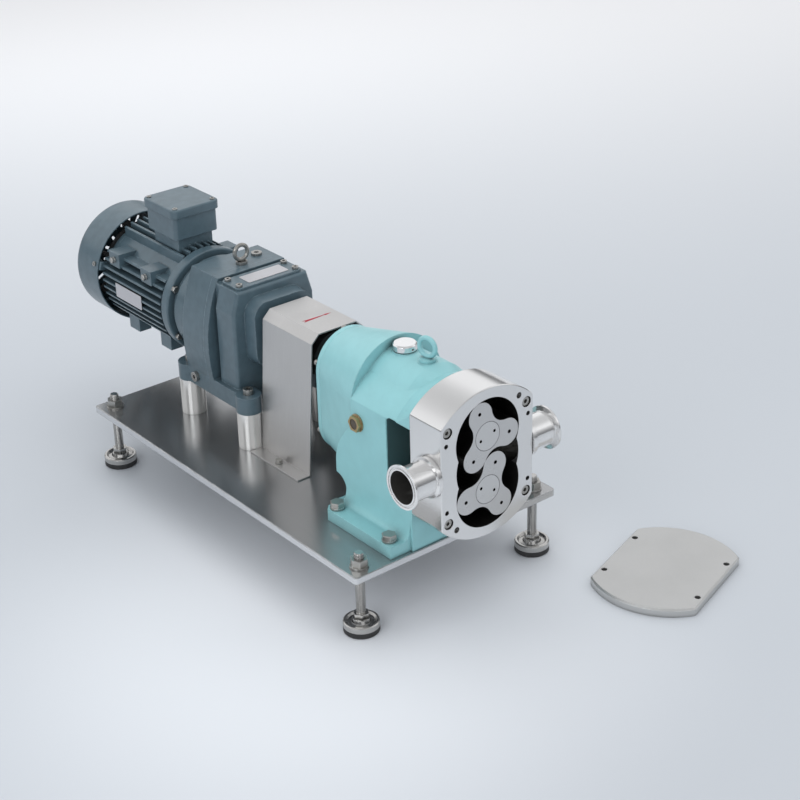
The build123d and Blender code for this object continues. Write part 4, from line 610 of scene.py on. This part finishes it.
# Floor, light and camera. The floor colour holds painted light: deeper in tone near the set, painted pale far behind
# it, and a painted pool of light on the near left.
floorLook = {
    "size": 40.0,
    "near": (0.515, 0.548, 0.588),
    "far": (0.96, 0.96, 0.97),
    "away": (0.62, 0.78),
    "fadeFrom": 0.4,
    "fadeTo": 3.6,
    "lit": (0.72, 0.75, 0.79),
    "litCentre": (-0.22, -0.30, 0.0),
    "litOuter": 0.62,
    "litInner": 0.12,
    "cloud": (0.78, 0.80, 0.84),
    "cloudAmount": 0.06,
    "rough": 0.55,
    "specular": 0.3,
}


def makeFloor(look):
    mesh = bpy.data.meshes.new("studioFloor")
    half = look["size"] / 2
    mesh.from_pydata([(-half, -half, 0), (half, -half, 0), (half, half, 0), (-half, half, 0)], [], [(0, 1, 2, 3)])
    floor = bpy.data.objects.new("studioFloor", mesh)
    scene.collection.objects.link(floor)
    material, tree, shader = startMaterial("studioFloor")
    where = objectPlace(tree)
    axes = splitAxes(tree, where)
    awayX, awayY = (mathNode(tree, "MULTIPLY", axes[axis], share) for axis, share in zip("XY", look["away"]))
    fade = ramp(tree, mathNode(tree, "ADD", awayX, awayY), look["fadeFrom"], look["fadeTo"])
    offset = vectorNode(tree, "SUBTRACT", where, look["litCentre"]).outputs[0]
    reach = vectorNode(tree, "LENGTH", offset).outputs["Value"]
    # Painted light: darker near the set, pale far behind it, and a painted pool of light on the near left.
    tone = mixColour(tree, fade, look["near"], look["far"])
    tone = mixColour(tree, ramp(tree, reach, look["litOuter"], look["litInner"]), tone, look["lit"])
    tone = overlay(tree, tone, noiseNode(tree, where, 1.3, 3.0), look["cloudAmount"], look["cloud"])
    tree.links.new(tone, shader.inputs["Base Color"])
    shader.inputs["Roughness"].default_value = look["rough"]
    shader.inputs["Specular IOR Level"].default_value = look["specular"]
    floor.data.materials.append(material)


makeFloor(floorLook)

# Polished steel mirrors a room of its own: dark along the walls, bright above them, calmer overhead.
# Each patch is a darker stretch of wall: its direction, how wide it starts (as a cosine) and how dark it is.
worldLook = {
    "sky": (0.97, 0.98, 1.0),
    "strength": 0.84,
    "gloss": 1.02,
    "walls": (0.06, 0.30, 0.10, 1.0),
    "ceiling": (0.55, 0.80, 1.0, 0.55),
    "patches": [((-0.95, -0.3, 0.25), 0.80, 0.8), ((0.35, -0.93, 0.2), 0.88, 0.8), ((0.97, 0.1, 0.3), 0.92, 0.6)],
    "patchEdge": 0.1,
    "patchLimit": 0.995,
    "dark": (0.03, 0.035, 0.04),
    "light": (0.97, 0.98, 1.0),
}


def makeWorld(look):
    world = bpy.data.worlds.new("studioRoom")
    scene.world = world
    world.use_nodes = True
    tree = world.node_tree
    tree.nodes.clear()
    output = addNode(tree, "ShaderNodeOutputWorld")
    soft = setInputs(addNode(tree, "ShaderNodeBackground"), Color=(*look["sky"], 1.0), Strength=look["strength"])
    room = setInputs(addNode(tree, "ShaderNodeBackground"), Strength=look["gloss"])
    path = addNode(tree, "ShaderNodeLightPath")
    choose = addNode(tree, "ShaderNodeMixShader")
    tree.links.new(path.outputs["Is Glossy Ray"], choose.inputs[0])
    tree.links.new(soft.outputs[0], choose.inputs[1])
    tree.links.new(room.outputs[0], choose.inputs[2])
    tree.links.new(choose.outputs[0], output.inputs["Surface"])
    where = addNode(tree, "ShaderNodeTexCoord").outputs["Generated"]
    height = splitAxes(tree, where)["Z"]
    light = mathNode(tree, "MULTIPLY", ramp(tree, height, *look["walls"]), ramp(tree, height, *look["ceiling"]))
    for direction, width, depth in look["patches"]:
        toward = vectorNode(tree, "DOT_PRODUCT", where, Vector(direction).normalized()).outputs["Value"]
        patch = ramp(tree, toward, width, min(look["patchLimit"], width + look["patchEdge"]), 1.0, 1.0 - depth)
        light = mathNode(tree, "MULTIPLY", light, patch)
    tree.links.new(mixColour(tree, light, look["dark"], look["light"]), room.inputs["Color"])


makeWorld(worldLook)

# Only the left box shows in mirrored steel.
lampLooks = {
    "overheadBox": dict(place=(0.3, 0.2, 2.6), aim=(0.0, -0.05, 0.1), size=(2.4, 1.8), watts=17.0, colour=(1.0, 0.99, 0.97)),
    "leftBox": dict(
        place=(-2.3, -0.9, 1.5), aim=(0.0, 0.0, 0.15), size=(1.4, 1.2), watts=13.0, colour=(0.96, 0.98, 1.0), mirrored=True,
    ),
    "lowFill": dict(place=(-2.3, -1.5, 0.5), aim=(0.0, 0.0, 0.05), size=(1.6, 0.7), watts=6.0, colour=(0.97, 0.98, 1.0)),
    "rightBox": dict(place=(1.9, -1.6, 1.7), aim=(0.0, -0.2, 0.1), size=(1.0, 1.4), watts=4.0, colour=(1.0, 1.0, 1.0)),
    "backBox": dict(place=(0.9, 2.4, 1.6), aim=(0.0, 0.1, 0.2), size=(2.0, 0.9), watts=12.0, colour=(1.0, 1.0, 1.0)),
}


def makeLamp(name, look):
    data = bpy.data.lights.new(name, "AREA")
    data.shape = "RECTANGLE"
    data.size, data.size_y = look["size"]
    data.energy = look["watts"]
    data.color = look["colour"]
    lamp = bpy.data.objects.new(name, data)
    scene.collection.objects.link(lamp)
    lamp.location = look["place"]
    lamp.visible_glossy = look.get("mirrored", False)
    lamp.rotation_euler = (Vector(look["aim"]) - Vector(look["place"])).to_track_quat("-Z", "Y").to_euler()


for name, look in lampLooks.items():
    makeLamp(name, look)

cameraLook = {
    "azimuth": -38.38,
    "elevation": 26.98,
    "roll": -1.57,
    "distance": 2.80516,
    "target": (0.14035, -0.04037, 0.150),
    "lens": 81.0,
    "sensor": 36.0,
    "reach": 60.0,
}


def makeCamera(look):
    data = bpy.data.cameras.new("studioCamera")
    data.lens = look["lens"]
    data.sensor_width = look["sensor"]
    data.clip_end = look["reach"]
    camera = bpy.data.objects.new("studioCamera", data)
    scene.collection.objects.link(camera)
    turn, rise, roll = (math.radians(look[key]) for key in ("azimuth", "elevation", "roll"))
    back = Vector((math.sin(turn) * math.cos(rise), -math.cos(turn) * math.cos(rise), math.sin(rise)))
    right = Vector((math.cos(turn), math.sin(turn), 0.0))
    up = back.cross(right)
    rolledRight = right * math.cos(roll) + up * math.sin(roll)
    rolledUp = up * math.cos(roll) - right * math.sin(roll)
    turning = Matrix((rolledRight, rolledUp, back)).transposed().to_4x4()
    camera.matrix_world = Matrix.Translation(Vector(look["target"]) + back * look["distance"]) @ turning
    scene.camera = camera


makeCamera(cameraLook)
scene.view_settings.view_transform = "Standard"
print("stage ready")
